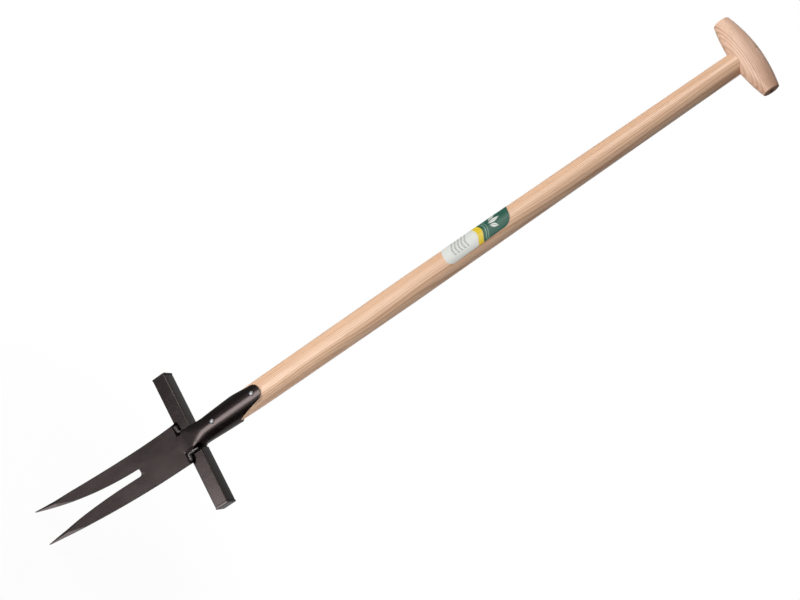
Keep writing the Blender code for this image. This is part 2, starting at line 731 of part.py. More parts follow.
def main():
    for obj in list(bpy.data.objects):
        bpy.data.objects.remove(obj)
    steel = material("black_steel", (0.045, 0.036, 0.034), 0.42, 0.3)
    plastic = material("black_cap", (0.06, 0.055, 0.052), 0.5)
    zinc = material("zinc", (0.62, 0.64, 0.66), 0.28, 1.0)
    ash = material("ash_wood", (0.78, 0.55, 0.36), 0.5)
    oak = material("wedge_wood", (0.45, 0.28, 0.15), 0.6)
    paper = material("label_paper", (0.03, 0.14, 0.09), 0.35)

    head = bpy.data.objects.new("head_level", None)
    head.location = (0, 0, -TREAD_TO_GRIP)
    grip = bpy.data.objects.new("grip_axis", None)
    grip.location = (0, 0, GRIP_RADIUS)
    for empty in (head, grip):
        bpy.context.scene.collection.objects.link(empty)

    make_head(steel, head)
    for side, hand in ((-1, "left"), (1, "right")):
        make_tread(side, f"tread_{hand}", steel, head)
        make_cap(side, f"tread_cap_{hand}", plastic, head)
        make_front_bead(side, f"weld_front_{hand}", steel, head)
        make_back_bead(side, f"weld_back_{hand}", steel, head)
    for name, height in NAIL_HEIGHTS.items():
        make_nail(name, height, zinc, head)
    make_shaft(ash, head, grip)
    make_grip(ash, grip)
    make_wedge(oak, grip)
    make_label(paper, head)


main()
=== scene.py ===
import math
from contextlib import contextmanager

import bmesh
import bpy
from mathutils import Matrix, Vector
from mathutils.kdtree import KDTree


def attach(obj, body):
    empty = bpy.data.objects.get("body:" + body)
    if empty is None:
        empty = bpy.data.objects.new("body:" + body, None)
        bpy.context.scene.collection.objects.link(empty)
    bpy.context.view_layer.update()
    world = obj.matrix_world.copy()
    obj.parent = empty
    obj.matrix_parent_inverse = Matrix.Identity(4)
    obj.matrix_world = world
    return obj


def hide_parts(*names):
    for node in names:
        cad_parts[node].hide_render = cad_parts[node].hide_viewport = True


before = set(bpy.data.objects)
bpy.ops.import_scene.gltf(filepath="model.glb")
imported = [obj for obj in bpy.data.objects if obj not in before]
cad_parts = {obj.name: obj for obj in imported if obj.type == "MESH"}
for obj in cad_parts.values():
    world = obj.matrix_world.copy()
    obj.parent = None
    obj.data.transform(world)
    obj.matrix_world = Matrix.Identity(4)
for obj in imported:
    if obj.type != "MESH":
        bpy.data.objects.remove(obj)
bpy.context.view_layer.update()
print("frame loaded:", len(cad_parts), "CAD nodes")

# Sizes are in millimetres. Heights of the head, treads, nails and label count from the treads' centre line.
mm = 0.001
treadLevel = -857.0  # that line, below the underside of the grip
fitGap = 0.3  # between pieces that touch


class Form(dict):
    # a dictionary whose values can also be read as attributes
    __getattr__ = dict.__getitem__


def smooth(t):
    t = min(1.0, max(0.0, t))
    return t * t * (3 - 2 * t)


def mix(a, b, t):
    return a + (b - a) * t


def spread(low, high, count):
    return [mix(low, high, i / count) for i in range(1, count + 1)]


def place(x, y, z):
    return Vector((x, y, z + treadLevel)) * mm


# node helpers


class Wire:
    # one output of a node: arithmetic on it adds a math node, and wire[name] is another output of the node
    def __init__(self, socket):
        self.socket, self.tree = socket, socket.id_data

    def __getitem__(self, name):
        return Wire(self.socket.node.outputs[name])

    def __add__(self, other):
        return calc("ADD", self, other)

    def __sub__(self, other):
        return calc("SUBTRACT", self, other)

    def __rsub__(self, other):
        return calc("SUBTRACT", other, self)

    def __mul__(self, other):
        return calc("MULTIPLY", self, other)

    def __truediv__(self, other):
        return calc("DIVIDE", self, other)

    def __rtruediv__(self, other):
        return calc("DIVIDE", other, self)


def link(wire, socket):
    wire.tree.links.new(wire.socket, socket)


def addNode(tree, kind, inputs=None, output=0, **settings):
    node = tree.nodes.new(kind)
    for name, value in settings.items():
        setattr(node, name, value)
    for name, value in (inputs or {}).items():
        if isinstance(value, Wire):
            link(value, node.inputs[name])
        else:
            node.inputs[name].default_value = value
    return Wire(node.outputs[output])


def calc(operation, *values, clamp=False):
    # a vector node if any value is a vector or a colour, else a plain one
    tree = next(value.tree for value in values if isinstance(value, Wire))
    kinds = [value.socket.type if isinstance(value, Wire) else type(value) for value in values]
    inputs = dict(enumerate(values))
    if any(kind in ("VECTOR", "RGBA", tuple) for kind in kinds):
        output = "Value" if operation in ("LENGTH", "DOT_PRODUCT") else "Vector"
        return addNode(tree, "ShaderNodeVectorMath", inputs, output, operation=operation)
    return addNode(tree, "ShaderNodeMath", inputs, operation=operation, use_clamp=clamp)


def clamped(value):
    return calc("ADD", value, 0.0, clamp=True)


def larger(a, b):
    return calc("MAXIMUM", a, b)


def smaller(a, b):
    return calc("MINIMUM", a, b)


def split(vector):
    return addNode(vector.tree, "ShaderNodeSeparateXYZ", {0: vector})


def vectorOf(tree, **parts):
    return addNode(tree, "ShaderNodeCombineXYZ", parts)


def ramp(value, low, high, start=0.0, end=1.0, kind="SMOOTHSTEP"):
    inputs = {"Value": value, "From Min": low, "From Max": high, "To Min": start, "To Max": end}
    return addNode(value.tree, "ShaderNodeMapRange", inputs, interpolation_type=kind)


def blend(factor, a, b):
    # two colours, each a wire or plain red, green and blue
    a, b = [colour if isinstance(colour, Wire) else (*colour, 1) for colour in (a, b)]
    return addNode(factor.tree, "ShaderNodeMix", {0: factor, 6: a, 7: b}, 2, data_type="RGBA")


def noise(vector, scale, detail=2.0, roughness=0.5, stretch=None, output=0):
    inputs = {"Vector": vector * stretch if stretch else vector,
              "Scale": scale, "Detail": detail, "Roughness": roughness}
    return addNode(vector.tree, "ShaderNodeTexNoise", inputs, output)


number, vectorKind, colourKind = "NodeSocketFloat", "NodeSocketVector", "NodeSocketColor"
geometryKind, materialKind = "NodeSocketGeometry", "NodeSocketMaterial"
shaderTree, geometryTree = "ShaderNodeTree", "GeometryNodeTree"


def kindOf(value):
    if isinstance(value, tuple):
        return vectorKind if len(value) == 3 else colourKind
    return "NodeSocketInt" if isinstance(value, int) else number


def newGroup(name, kind, inputs, outputs):
    # an input is given by its default value, or by its kind where it has none
    tree = bpy.data.node_groups.new(name, kind)
    for label, value in inputs.items():
        bare = isinstance(value, str)
        made = tree.interface.new_socket(
            name=label, in_out="INPUT", socket_type=value if bare else kindOf(value))
        if not bare:
            made.default_value = value
    for label, socket in outputs.items():
        tree.interface.new_socket(name=label, in_out="OUTPUT", socket_type=socket)
    given = Wire(tree.nodes.new("NodeGroupInput").outputs[0])
    return tree, given, tree.nodes.new("NodeGroupOutput").inputs


# shader groups shared by several finishes


def makeEdgeWear():
    # where an edge has rubbed, from a piece's own rim attribute, broken up by noise
    tree, given, out = newGroup("edgeWear", shaderTree, {
        "Vector": vectorKind, "Rim": 0.0, "Reach": 0.5, "Patch Size": 0.004}, {"Mask": number})
    patches = noise(given["Vector"], 1.0 / given["Patch Size"], 3.0, 0.6)
    link(ramp(given["Rim"] * (patches + given["Reach"]), 0.55, 0.95), out["Mask"])
    return tree


def makeFineDust():
    # pale specks and soft smears
    tree, given, out = newGroup("fineDust", shaderTree, {
        "Vector": vectorKind, "Speck Size": 0.001, "Amount": 0.3}, {"Specks": number, "Smear": number})
    small = noise(given["Vector"], 1.0 / given["Speck Size"], 2.0, 0.7)
    threshold = 0.8 - noise(given["Vector"], 28.0) * 0.2
    link(ramp(small - threshold, 0.0, 0.06) * given["Amount"], out["Specks"])
    link(ramp(noise(given["Vector"], 60.0, 3.0, 0.6, (1.0, 1.0, 0.35)), 0.35, 0.75), out["Smear"])
    return tree


def makeFineScratches():
    # thin straight marks along the group's Z
    tree, given, out = newGroup("fineScratches", shaderTree, {
        "Vector": vectorKind, "Spacing": 0.002, "Amount": 0.5}, {"Mask": number})
    thin = ramp(noise(given["Vector"], 1.0 / given["Spacing"], 2.0, 0.6, (1.0, 1.0, 0.03)), 0.66, 0.74)
    breaks = ramp(noise(given["Vector"], 45.0, 1.0), 0.45, 0.65)
    link(thin * breaks * given["Amount"], out["Mask"])
    return tree


def makeAshGrain():
    # growth rings round a pith axis along the group's Z, with fibres and open pores
    tree, given, out = newGroup("ashGrain", shaderTree, {
        "Vector": vectorKind, "Pith": (0.08, 0.03, 0.0), "Ring Spacing": 0.002, "Wander": 0.004,
        "Contrast": 0.8, "Pale": (0.8, 0.56, 0.37, 1), "Dark": (0.5, 0.29, 0.16, 1)},
        {"Color": colourKind, "Height": number, "Line": number})
    vector = given["Vector"]
    slow = noise(vector, 30.0, 1.0, stretch=(1.0, 1.0, 0.16), output="Color")
    drift = (slow - (0.5, 0.5, 0.5)) * given["Wander"]
    flat = (vector - given["Pith"] + drift) * (1.0, 1.0, 0.0)
    rings = calc("LENGTH", flat) / given["Ring Spacing"]
    uneven = addNode(
        tree, "ShaderNodeTexNoise", {"W": rings, "Scale": 0.45, "Detail": 1.0}, noise_dimensions="1D")
    rings = uneven * 1.1 + rings
    within = calc("FRACT", rings)
    which = addNode(tree, "ShaderNodeTexWhiteNoise", {"W": calc("FLOOR", rings)}, noise_dimensions="1D")
    early, late = ramp(within, 0.0, 0.4, 1.0, 0.0), ramp(within, 0.72, 1.0)
    line = larger(early, late) * ramp(which["Value"], 0.0, 1.0, 0.4, 1.0, "LINEAR")
    fibre = noise(vector, 900.0, 2.0, 0.6, (1.0, 1.0, 0.012))
    pores = ramp(noise(vector, 2100.0, 1.0, 0.5, (1.0, 1.0, 0.05)), 0.6, 0.72)
    tone = noise(vector, 16.0, 2.0, 0.5, (1.0, 1.0, 0.25))
    factor = line * given["Contrast"] + ramp(fibre, 0.2, 0.8, -0.22, 0.28, "LINEAR")
    factor = factor + pores * (early * 0.22 + 0.05) + ramp(tone, 0.25, 0.75, -0.1, 0.12, "LINEAR")
    link(blend(clamped(factor), given["Pale"], given["Dark"]), out["Color"])
    link(1.0 - (pores * 0.6 + line * 0.4), out["Height"])
    link(line, out["Line"])
    return tree


def makeWeldMargin():
    # painted shade round the two front weld beads: black margins where the gap at each bead's toe lies in
    # shade, with some weld scorch; two straight runs each, measured in x and z
    tree, given, out = newGroup("weldShadeAndScorch", shaderTree, {
        "Vector": vectorKind, "Level": treadLevel * mm, "Shoulder": -0.0086, "Outer End": 0.0285,
        "Neck": 0.0163, "Upper End": 0.0216, "Reach": 0.0043}, {"Mask": number})
    parts = split(given["Vector"])
    x, z = calc("ABSOLUTE", parts["X"]), parts["Z"] - given["Level"]
    # the left bead's run up the neck is short
    upperEnd = calc("GREATER_THAN", parts["X"], 0.0) * given["Upper End"] + given["Shoulder"]

    def awayFrom(value, low, high, aside):
        past = larger(larger(value - high, low - value), 0.0)
        return calc("SQRT", past * past + aside * aside)

    along = awayFrom(x, given["Neck"], given["Outer End"], z - given["Shoulder"])
    up = awayFrom(z, given["Shoulder"], upperEnd, x - given["Neck"])
    wobble = noise(given["Vector"], 260.0) - 0.5
    past = wobble * 0.0012 + smaller(along, up) - given["Reach"]
    front = ramp(parts["Y"], -0.006, -0.004, 1.0, 0.0)
    link(ramp(past, -0.0003, 0.0004, 1.0, 0.0) * front, out["Mask"])
    return tree


edgeWear, fineDust = makeEdgeWear(), makeFineDust()
fineScratches, ashGrain, weldMargin = makeFineScratches(), makeAshGrain(), makeWeldMargin()
print("shader groups built")


# finishes


def startMaterial(name, **uniform):
    made = bpy.data.materials.new(name)
    made.use_nodes = True
    tree = made.node_tree
    target = tree.nodes["Principled BSDF"].inputs
    for label, value in uniform.items():
        target[label.replace("_", " ")].default_value = value
    return made, tree, target, addNode(tree, "ShaderNodeTexCoord", output="Object")


def useGroup(group, coords, inputs=None):
    return addNode(coords.tree, "ShaderNodeGroup", {"Vector": coords, **(inputs or {})}, node_tree=group)


def marked(tree, name):
    return addNode(tree, "ShaderNodeAttribute", output="Fac", attribute_name=name)


def addBump(target, height, strength, distance):
    inputs = {"Height": height, "Strength": strength, "Distance": distance}
    link(addNode(height.tree, "ShaderNodeBump", inputs), target["Normal"])


def paintFinish(name, look):
    # satin black paint: fine orange peel, soft smears, a few scratches, edges rubbed a little, and near-black
    # painted shade where a piece has weld margins or a seam groove
    made, tree, target, coords = startMaterial(
        name, Specular_IOR_Level=look.gloss, Specular_Tint=(*look.glossTint, 1))
    worn = useGroup(edgeWear, coords, {"Rim": marked(tree, "rim"), "Reach": look.wear})
    dust = useGroup(fineDust, coords, {"Speck Size": 0.0011, "Amount": look.dust})
    scratched = useGroup(fineScratches, coords, {"Spacing": 0.0016, "Amount": look.scratches})
    colour = blend(ramp(noise(coords, 35.0, 3.0, 0.6), 0.3, 0.7), look.dark, look.pale)
    colour = blend(worn * 0.7, colour, look.rubbed)
    colour = blend(larger(scratched, dust["Specks"]), colour, paintMarks.speck)
    ground = marked(tree, "ground")
    colour = blend(ground, colour, look.get("steel", look.rubbed))
    # painted shade, with some scorch: weld margins and seam grooves go near-black and metallic, so they
    # reflect almost nothing
    burnt = larger(useGroup(weldMargin, coords) * look.get("scorchedAndShaded", 0.0), marked(tree, "seam"))
    link(blend(burnt, colour, paintMarks.burnt), target["Base Color"])
    link(larger(ground, burnt), target["Metallic"])
    link(dust["Smear"] * look.smearRough + look.rough + worn * 0.08, target["Roughness"])
    height = noise(coords, 90.0) * look.ripple + noise(coords, 700.0) * look.peel
    addBump(target, height, 0.35, 0.0004)
    return made


def woodFinish(name, look):
    made, tree, target, coords = startMaterial(name, Specular_IOR_Level=look.gloss)
    if "turn" in look:
        coords = addNode(tree, "ShaderNodeMapping", {"Vector": coords, "Rotation": look.turn})
    grain = useGroup(ashGrain, coords, {
        "Pith": look.pith, "Ring Spacing": look.ringSpacing, "Wander": look.wander,
        "Contrast": look.contrast, "Pale": (*look.pale, 1), "Dark": (*look.dark, 1)})
    dust = useGroup(fineDust, coords, {"Speck Size": 0.0009, "Amount": look.speck})
    worn = useGroup(edgeWear, coords, {"Rim": marked(tree, "rim"), "Reach": 0.6})
    colour = blend(dust["Specks"], grain["Color"], look.dark)
    colour = blend(worn * 0.5, colour, look.dark)
    # painted shade: darker towards one end, where the light falls off
    endShade = ramp(split(coords)["Z"], -0.05, -0.004, 1.0, 0.0) * look.get("shadedEnd", 0.0)
    colour = blend(endShade, colour, look.dark)
    cutEnd = marked(tree, "cutEnd")
    colour = blend(cutEnd * 0.6, colour, woodMarks.cutEnd)
    # painted shade: near-black inside the centre holes
    link(blend(marked(tree, "hollow"), colour, woodMarks.hollow), target["Base Color"])
    rough = grain["Line"] * 0.1 + look.rough + dust["Smear"] * 0.05 + cutEnd * 0.5
    link(clamped(rough), target["Roughness"])
    addBump(target, grain["Height"], 0.25, 0.00025)
    return made


def plateFinish(name, look):
    # bright zinc with faint blue and straw patches
    made, tree, target, coords = startMaterial(name, Metallic=1.0)
    dust = useGroup(fineDust, coords, {"Speck Size": 0.0007, "Amount": 0.5})
    colour = blend(ramp(noise(coords, 330.0, 2.0, 0.6), 0.4, 0.6), look.blue, look.straw)
    link(blend(dust["Specks"], colour, look.speck), target["Base Color"])
    link(dust["Smear"] * 0.12 + look.rough, target["Roughness"])
    addBump(target, noise(coords, 900.0), 0.3, 0.0002)
    return made


# the second paint mark is near-black painted shade, with some scorch, for weld margins and seam grooves
paintMarks = Form({"speck": (0.09, 0.078, 0.072), "burnt": (0.006, 0.0045, 0.004)})
# the second wood mark is near-black painted shade inside the grip's centre holes
woodMarks = Form({"cutEnd": (0.16, 0.075, 0.045), "hollow": (0.02, 0.009, 0.006)})
blackPaint = paintFinish("blackPaint", Form({
    "gloss": 0.5, "glossTint": (1.0, 0.82, 0.8), "dark": (0.0035, 0.0022, 0.002),
    "pale": (0.006, 0.0042, 0.004), "rubbed": (0.05, 0.04, 0.036), "wear": 0.05, "dust": 0.06,
    "scratches": 0.15, "scorchedAndShaded": 1.0, "steel": (0.21, 0.18, 0.175), "rough": 0.225,
    "smearRough": 0.045, "peel": 0.008, "ripple": 0.14}))
weldPaint = paintFinish("weldPaint", Form({
    "gloss": 0.8, "glossTint": (1.0, 0.92, 0.92), "dark": (0.009, 0.006, 0.006),
    "pale": (0.028, 0.022, 0.022), "rubbed": (0.1, 0.08, 0.07), "wear": 0.3, "dust": 0.7,
    "scratches": 0.0, "rough": 0.3, "smearRough": 0.1, "peel": 0.3, "ripple": 0.9}))
# near-black and dull: painted shade for the beads' skirts, with some scorch
weldShadeAndScorch = paintFinish("weldShadeAndScorch", Form({
    "gloss": 0.1, "glossTint": (1.0, 0.9, 0.85), "dark": (0.003, 0.0022, 0.002),
    "pale": (0.006, 0.0045, 0.004), "rubbed": (0.01, 0.008, 0.007), "wear": 0.0, "dust": 0.1,
    "scratches": 0.0, "rough": 0.5, "smearRough": 0.1, "peel": 0.4, "ripple": 0.4}))
capPlastic = paintFinish("capPlastic", Form({
    "gloss": 0.5, "glossTint": (1.0, 0.86, 0.84), "dark": (0.007, 0.005, 0.0045),
    "pale": (0.011, 0.008, 0.0075), "rubbed": (0.05, 0.042, 0.04), "wear": 0.05, "dust": 0.3,
    "scratches": 0.3, "rough": 0.27, "smearRough": 0.06, "peel": 0.15, "ripple": 0.1}))
shaftAsh = woodFinish("shaftAsh", Form({
    "gloss": 0.5, "pith": (-0.085, 0.03, 0.0), "ringSpacing": 0.0021, "wander": 0.009,
    "contrast": 0.8, "pale": (0.79, 0.52, 0.345), "dark": (0.47, 0.23, 0.12), "speck": 0.2, "rough": 0.3}))
# the grip is darker towards one end: painted shade where its light falls off
gripAsh = woodFinish("gripAsh", Form({
    "gloss": 0.5, "turn": (0.0, math.radians(90), 0.0), "pith": (0.066, 0.024, 0.0), "ringSpacing": 0.0015,
    "wander": 0.004, "contrast": 0.85, "pale": (0.84, 0.56, 0.41), "dark": (0.46, 0.23, 0.13), "speck": 0.8,
    "rough": 0.38, "shadedEnd": 0.42}))
wedgeOak = woodFinish("wedgeOak", Form({
    "gloss": 0.4, "pith": (0.05, 0.02, 0.0), "ringSpacing": 0.0012, "wander": 0.004,
    "contrast": 0.6, "pale": (0.5, 0.32, 0.19), "dark": (0.27, 0.16, 0.09), "speck": 0.2, "rough": 0.5}))
zincPlate = plateFinish("zincPlate", Form({
    "blue": (0.2, 0.225, 0.255), "straw": (0.28, 0.23, 0.19), "speck": (0.2, 0.17, 0.15), "rough": 0.4}))
print("finishes built")


# mesh helpers


@contextmanager
def editing(mesh):
    bm = bmesh.new()
    bm.from_mesh(mesh)
    yield bm
    bm.to_mesh(mesh)
    bm.free()


def newPiece(name, mesh, material=None):
    piece = bpy.data.objects.new(name, mesh)
    bpy.context.scene.collection.objects.link(piece)
    if material:
        mesh.materials.append(material)
    return piece


def settle(piece):
    # the evaluated shape becomes the piece's plain mesh
    depsgraph = bpy.context.evaluated_depsgraph_get()
    depsgraph.update()
    mesh = bpy.data.meshes.new_from_object(piece.evaluated_get(depsgraph), depsgraph=depsgraph)
    piece.modifiers.clear()
    piece.data = mesh


def carve(piece, cutter, operation="DIFFERENCE"):
    modifier = piece.modifiers.new("carve", "BOOLEAN")
    modifier.operation, modifier.solver, modifier.object = operation, "EXACT", cutter
    settle(piece)
    with editing(piece.data) as bm:
        bmesh.ops.remove_doubles(bm, verts=bm.verts, dist=1e-6)
        bmesh.ops.dissolve_degenerate(bm, edges=bm.edges, dist=1e-6)


def shade(mesh, angle=35):
    mesh.shade_smooth()
    mesh.set_sharp_from_angle(angle=math.radians(angle))


def outward(mesh):
    with editing(mesh) as bm:
        bmesh.ops.remove_doubles(bm, verts=bm.verts, dist=1e-7)
        bmesh.ops.recalc_face_normals(bm, faces=bm.faces)


def loftMesh(name, rings, angle=35, caps=True):
    mesh = bpy.data.meshes.new(name)
    with editing(mesh) as bm:
        loops = [[bm.verts.new(p) for p in ring] for ring in rings]
        count = len(rings[0])
        for low, high in zip(loops, loops[1:]):
            for i in range(count):
                j = (i + 1) % count
                bm.faces.new((low[i], low[j], high[j], high[i]))
        if caps:
            bm.faces.new(loops[0][::-1])
            bm.faces.new(loops[-1])
        bmesh.ops.recalc_face_normals(bm, faces=bm.faces)
    shade(mesh, angle)
    return mesh


def markRims(mesh, reach, angle=40):
    # a 0 to 1 attribute, 1 on the sharp edges and fading within reach, for the wear group
    sharp = set()
    with editing(mesh) as bm:
        for edge in bm.edges:
            if len(edge.link_faces) == 2 and edge.calc_face_angle() > math.radians(angle):
                sharp.update(vert.index for vert in edge.verts)
    tree = KDTree(max(1, len(sharp)))
    for i in sharp:
        tree.insert(mesh.vertices[i].co, i)
    tree.balance()
    values = [max(0.0, 1 - tree.find(vert.co)[2] / reach) if sharp else 0.0 for vert in mesh.vertices]
    mesh.attributes.new("rim", "FLOAT", "POINT").data.foreach_set("value", values)


def markFaces(mesh, name, test, value=1.0):
    # an attribute on the faces that pass the test, 0 elsewhere, with a sharp border round them
    values = [value if test(face) else 0.0 for face in mesh.polygons]
    mesh.attributes.new(name, "FLOAT", "FACE").data.foreach_set("value", values)
    with editing(mesh) as bm:
        for edge in bm.edges:
            if len({values[face.index] for face in edge.link_faces}) > 1:
                edge.smooth = False


def finishPiece(piece, slotName, *nodes):
    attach(piece, "root")
    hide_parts(*nodes)
    print("made", piece.name, len(piece.data.polygons), "faces")


# head: slotted blade, ground tines, neck and rolled socket in one sheet

shaftForm = Form({"radius": 18.0, "topRadius": 13.9, "taperStart": 372.0, "toeHeight": 18.0, "seatTop": 150.0,
                  "toeDrop": 3.8, "turn": 0.011, "sides": 96, "rings": 240})
bladeForm = Form({
    "sheet": 4.0, "reach": 234.0, "shoulderWidth": 61.0, "flare": 0.6, "flareLength": 28.0,
    "tipSpread": 51.4, "tipWidth": 1.0, "tipSheet": 2.3, "shoulderDrop": 8.0, "slotEnd": 84.6,
    "slotWidth": 11.2, "slotCorner": 4.2, "front": 11.3, "curveStart": 35.0, "curveReach": 48.0,
    "edgeBreak": 0.4, "grindStart": 182.0, "grindSlope": 0.17, "grindSteep": 0.62, "grindEdge": 0.45})
neckForm = Form({
    "sheet": 2.0, "half": 17.0, "foot": 5.0, "footSquare": 12.0, "square": 3.2, "top": 12.0, "round": 34.0,
    "tongueTop": 133.0, "tongueRadius": 12.5, "side": 78.5, "wrapLow": 135.0, "wrapHigh": 171.0,
    "wrapClosed": 56.0, "riseStart": 5.0, "backTurn": 5.0})
netForm = Form({
    "stripAngles": (0, 3.2, 6.3, 9.5, 12.7, 15.8, 19, 23, 27, 31, 35, 39, 43, 47, 51, 55),
    "slotColumn": 6, "wings": 6, "sideSteps": 26, "socketRows": 30, "sideColumn": 100,
    "easeLow": -18, "easeHigh": 48, "easeRounds": 40, "easeSlope": 1.2,
    "sharpAngle": 26, "rimReach": 1.6})


def seatRadius(z):
    if z >= shaftForm.taperStart:
        along = (z - shaftForm.taperStart) / (-treadLevel - shaftForm.taperStart)
        return mix(shaftForm.radius, shaftForm.topRadius, along)
    if z >= shaftForm.seatTop:
        return shaftForm.radius
    along = (shaftForm.seatTop - z) / (shaftForm.seatTop - shaftForm.toeHeight)
    return shaftForm.radius - shaftForm.toeDrop * min(along, 1.0) ** 2


def socketRadius(z):
    return seatRadius(z) + fitGap + neckForm.sheet


def bladeHalfWidth(z):
    b = bladeForm
    along = (-b.shoulderDrop - z) / (b.reach - b.shoulderDrop)
    straight = b.shoulderWidth / 2 - b.flare
    flare = max(0.0, 1 - (-b.shoulderDrop - z) / b.flareLength) ** 2
    narrowing = straight - b.tipSpread / 2
    return straight + b.flare * flare - narrowing * (0.35 * along + 0.65 * along**3)


def slotHalfWidth(z):
    b = bladeForm
    along = max(0.0, (-b.slotEnd - z) / (b.reach - b.slotEnd))
    opening = b.tipSpread / 2 - b.tipWidth - b.slotWidth / 2
    return b.slotWidth / 2 + opening * along**2.3


def bladeFront(z):
    b = bladeForm
    along = max(0.0, (-b.curveStart - z) / (b.reach - b.curveStart))
    return -b.front - b.curveReach * along**1.85


def centreFront(z):
    low, high = -neckForm.riseStart, shaftForm.toeHeight - fitGap
    if z >= high:
        return -socketRadius(z)
    return mix(bladeFront(z), -socketRadius(shaftForm.toeHeight), smooth((z - low) / (high - low)))


def frontAt(x, z):
    swelling = bladeFront(z) - centreFront(z)
    return bladeFront(z) - swelling * (1 - smooth(x / (neckForm.half * 1.15)))


def sheetAt(z):
    b = bladeForm
    if z > -b.curveStart:
        rolling = smooth((z + b.shoulderDrop) / (shaftForm.toeHeight - fitGap + b.shoulderDrop))
        return mix(b.sheet, neckForm.sheet, rolling)
    grinding = smooth((-b.grindStart - z) / (b.reach - b.grindStart))
    return mix(b.sheet, b.tipSheet, grinding)


def wrapAt(z):
    n = neckForm
    return math.radians(mix(n.wrapLow, n.wrapHigh, smooth((z - n.top) / (n.wrapClosed - n.top))))


def tongueHeight(angle):
    n = neckForm
    shoulder = n.tongueRadius / socketRadius(n.tongueTop)
    low = n.tongueTop - n.tongueRadius
    if angle < shoulder:
        return low + n.tongueRadius * math.sqrt(1 - (angle / shoulder) ** 2)
    along = min(1.0, (angle - shoulder) / (math.radians(88) - shoulder))
    return n.side + (low - n.side) * (1 - along) ** 2


def sectionPoint(angle, z):
    # outside of the neck or socket: a rounded box that turns into a circle
    n = neckForm
    radius, front = socketRadius(max(z, shaftForm.toeHeight)), -centreFront(z)
    if angle <= math.pi / 2:
        power = 2 / mix(n.footSquare, n.square, smooth((z + n.foot) / (n.top + n.foot)))
        boxX, boxY = n.half * math.sin(angle) ** power, -front * max(0.0, math.cos(angle)) ** power
    else:
        boxX, boxY = n.half, n.half * (angle - math.pi / 2)
    turn = smooth((z - n.top) / (n.round - n.top))
    backTurn = smooth((z - n.top + n.backTurn) / (2 * n.backTurn))
    turn = mix(turn, max(turn, backTurn), smooth((angle - math.pi / 2) / math.radians(30)))
    return Vector((mix(boxX, radius * math.sin(angle), turn), mix(boxY, -radius * math.cos(angle), turn), z))


def facetAt(outer, inner, z):
    b = bladeForm
    widest = min((sheetAt(z) - b.grindEdge) / b.grindSteep, (outer - inner) / 2 * 0.96)
    return min(max(b.edgeBreak, b.grindSlope * (-b.grindStart - z)), widest)


def bladeRow(z):
    b, net = bladeForm, netForm
    outer, inner = bladeHalfWidth(z), slotHalfWidth(z)
    slotted = z < -b.slotEnd + 1e-6
    corner = -b.slotEnd - z
    if slotted and corner < b.slotCorner:
        inner -= b.slotCorner * (1 - math.sqrt(max(0.0, 1 - (1 - corner / b.slotCorner) ** 2)))
    facet = facetAt(outer, inner, z)
    angles = [math.radians(a) for a in net.stripAngles]
    last, slot = len(angles) - 1, net.slotColumn
    neckLike = smooth((z + b.curveStart) / (b.curveStart - b.shoulderDrop))
    xNeck = [neckForm.half * math.sin(a) ** (2 / neckForm.footSquare) for a in angles]
    flat = [inner * i / slot for i in range(slot + 1)]
    steps = last - slot + net.wings
    inside = inner + facet if slotted else mix(inner, outer, 1 / (steps + 1))
    flat += [mix(inside, outer - facet, i / (steps - 1)) for i in range(steps)]
    xs = [mix(x, xNeck[i], neckLike) for i, x in enumerate(flat[: last + 1])]
    xs += spread(xs[last], outer - facet, net.wings) if neckLike > 0 else flat[last + 1:]
    xs.append(outer)
    depth = min(facet * b.grindSteep, sheetAt(z) - b.grindEdge)
    setBack = [0.0] * (len(xs) - 1) + [depth]
    if slotted:
        setBack[slot] = depth
    return [Vector((x, frontAt(x, z), z)) for x in xs], setBack


def headNet():
    b, n, net = bladeForm, neckForm, netForm
    corner = [b.slotEnd + b.slotCorner * (1 - math.sin(math.radians(a))) for a in range(0, 91, 10)]
    depths = [b.reach] + spread(b.reach, b.grindStart, 30)
    depths += spread(depths[-1], corner[0] + 3, 26) + corner
    depths += spread(b.slotEnd, b.curveStart, 16)
    depths += spread(b.curveStart, b.shoulderDrop, 16)
    neck = [-n.foot] + spread(-n.foot, n.top, 10) + spread(n.top, n.round, 12)
    angles = [math.radians(a) for a in net.stripAngles]
    last = len(angles) - 1
    points, setBacks, sheets, cells = {}, {}, {}, []

    def put(half, column, row, point, setBack=0.0):
        key = (1 if column == 0 else half, column, row)
        points[key] = Vector((key[0] * point.x, point.y, point.z))
        setBacks[key], sheets[key] = setBack, sheetAt(point.z)

    for row, depth in enumerate(depths):
        line, setBack = bladeRow(-depth)
        for column, point in enumerate(line):
            if depth > b.slotEnd and column < net.slotColumn:
                continue
            for half in (1, -1):
                put(half, column, row, point, setBack[column])
    first, top = len(depths), net.socketRows
    for i in range(len(neck) + top):
        up = (i - len(neck) + 1) / top
        level = neck[i] if i < len(neck) else mix(neck[-1], n.side, up)
        ring = angles + spread(angles[-1], wrapAt(level), net.sideSteps)
        for column, angle in enumerate(ring):
            climb = smooth(up) * 0.35 + up * 0.65
            height = level if i < len(neck) else mix(neck[-1], tongueHeight(angle), climb)
            key = column if column <= last else column + net.sideColumn
            for half in (1, -1):
                put(half, key, first + i, sectionPoint(angle, height))
    columns = list(range(last + 1))
    wings = [last] + list(range(last + 1, last + 2 + net.wings))
    sides = [last] + [last + i + net.sideColumn for i in range(1, net.sideSteps + 1)]
    for half in (1, -1):
        for row in range(first + len(neck) + top - 1):
            lines = [columns]
            lines += [wings] if row + 1 < first else []
            lines += [sides] if row >= first else []
            for line in lines:
                for a, c in zip(line, line[1:]):
                    corners = ((a, row), (c, row), (c, row + 1), (a, row + 1))
                    quad = [(1 if k == 0 else half, k, r) for k, r in corners]
                    if all(key in points for key in quad):
                        cells.append(quad if half < 0 else quad[::-1])
    return points, cells, setBacks, sheets


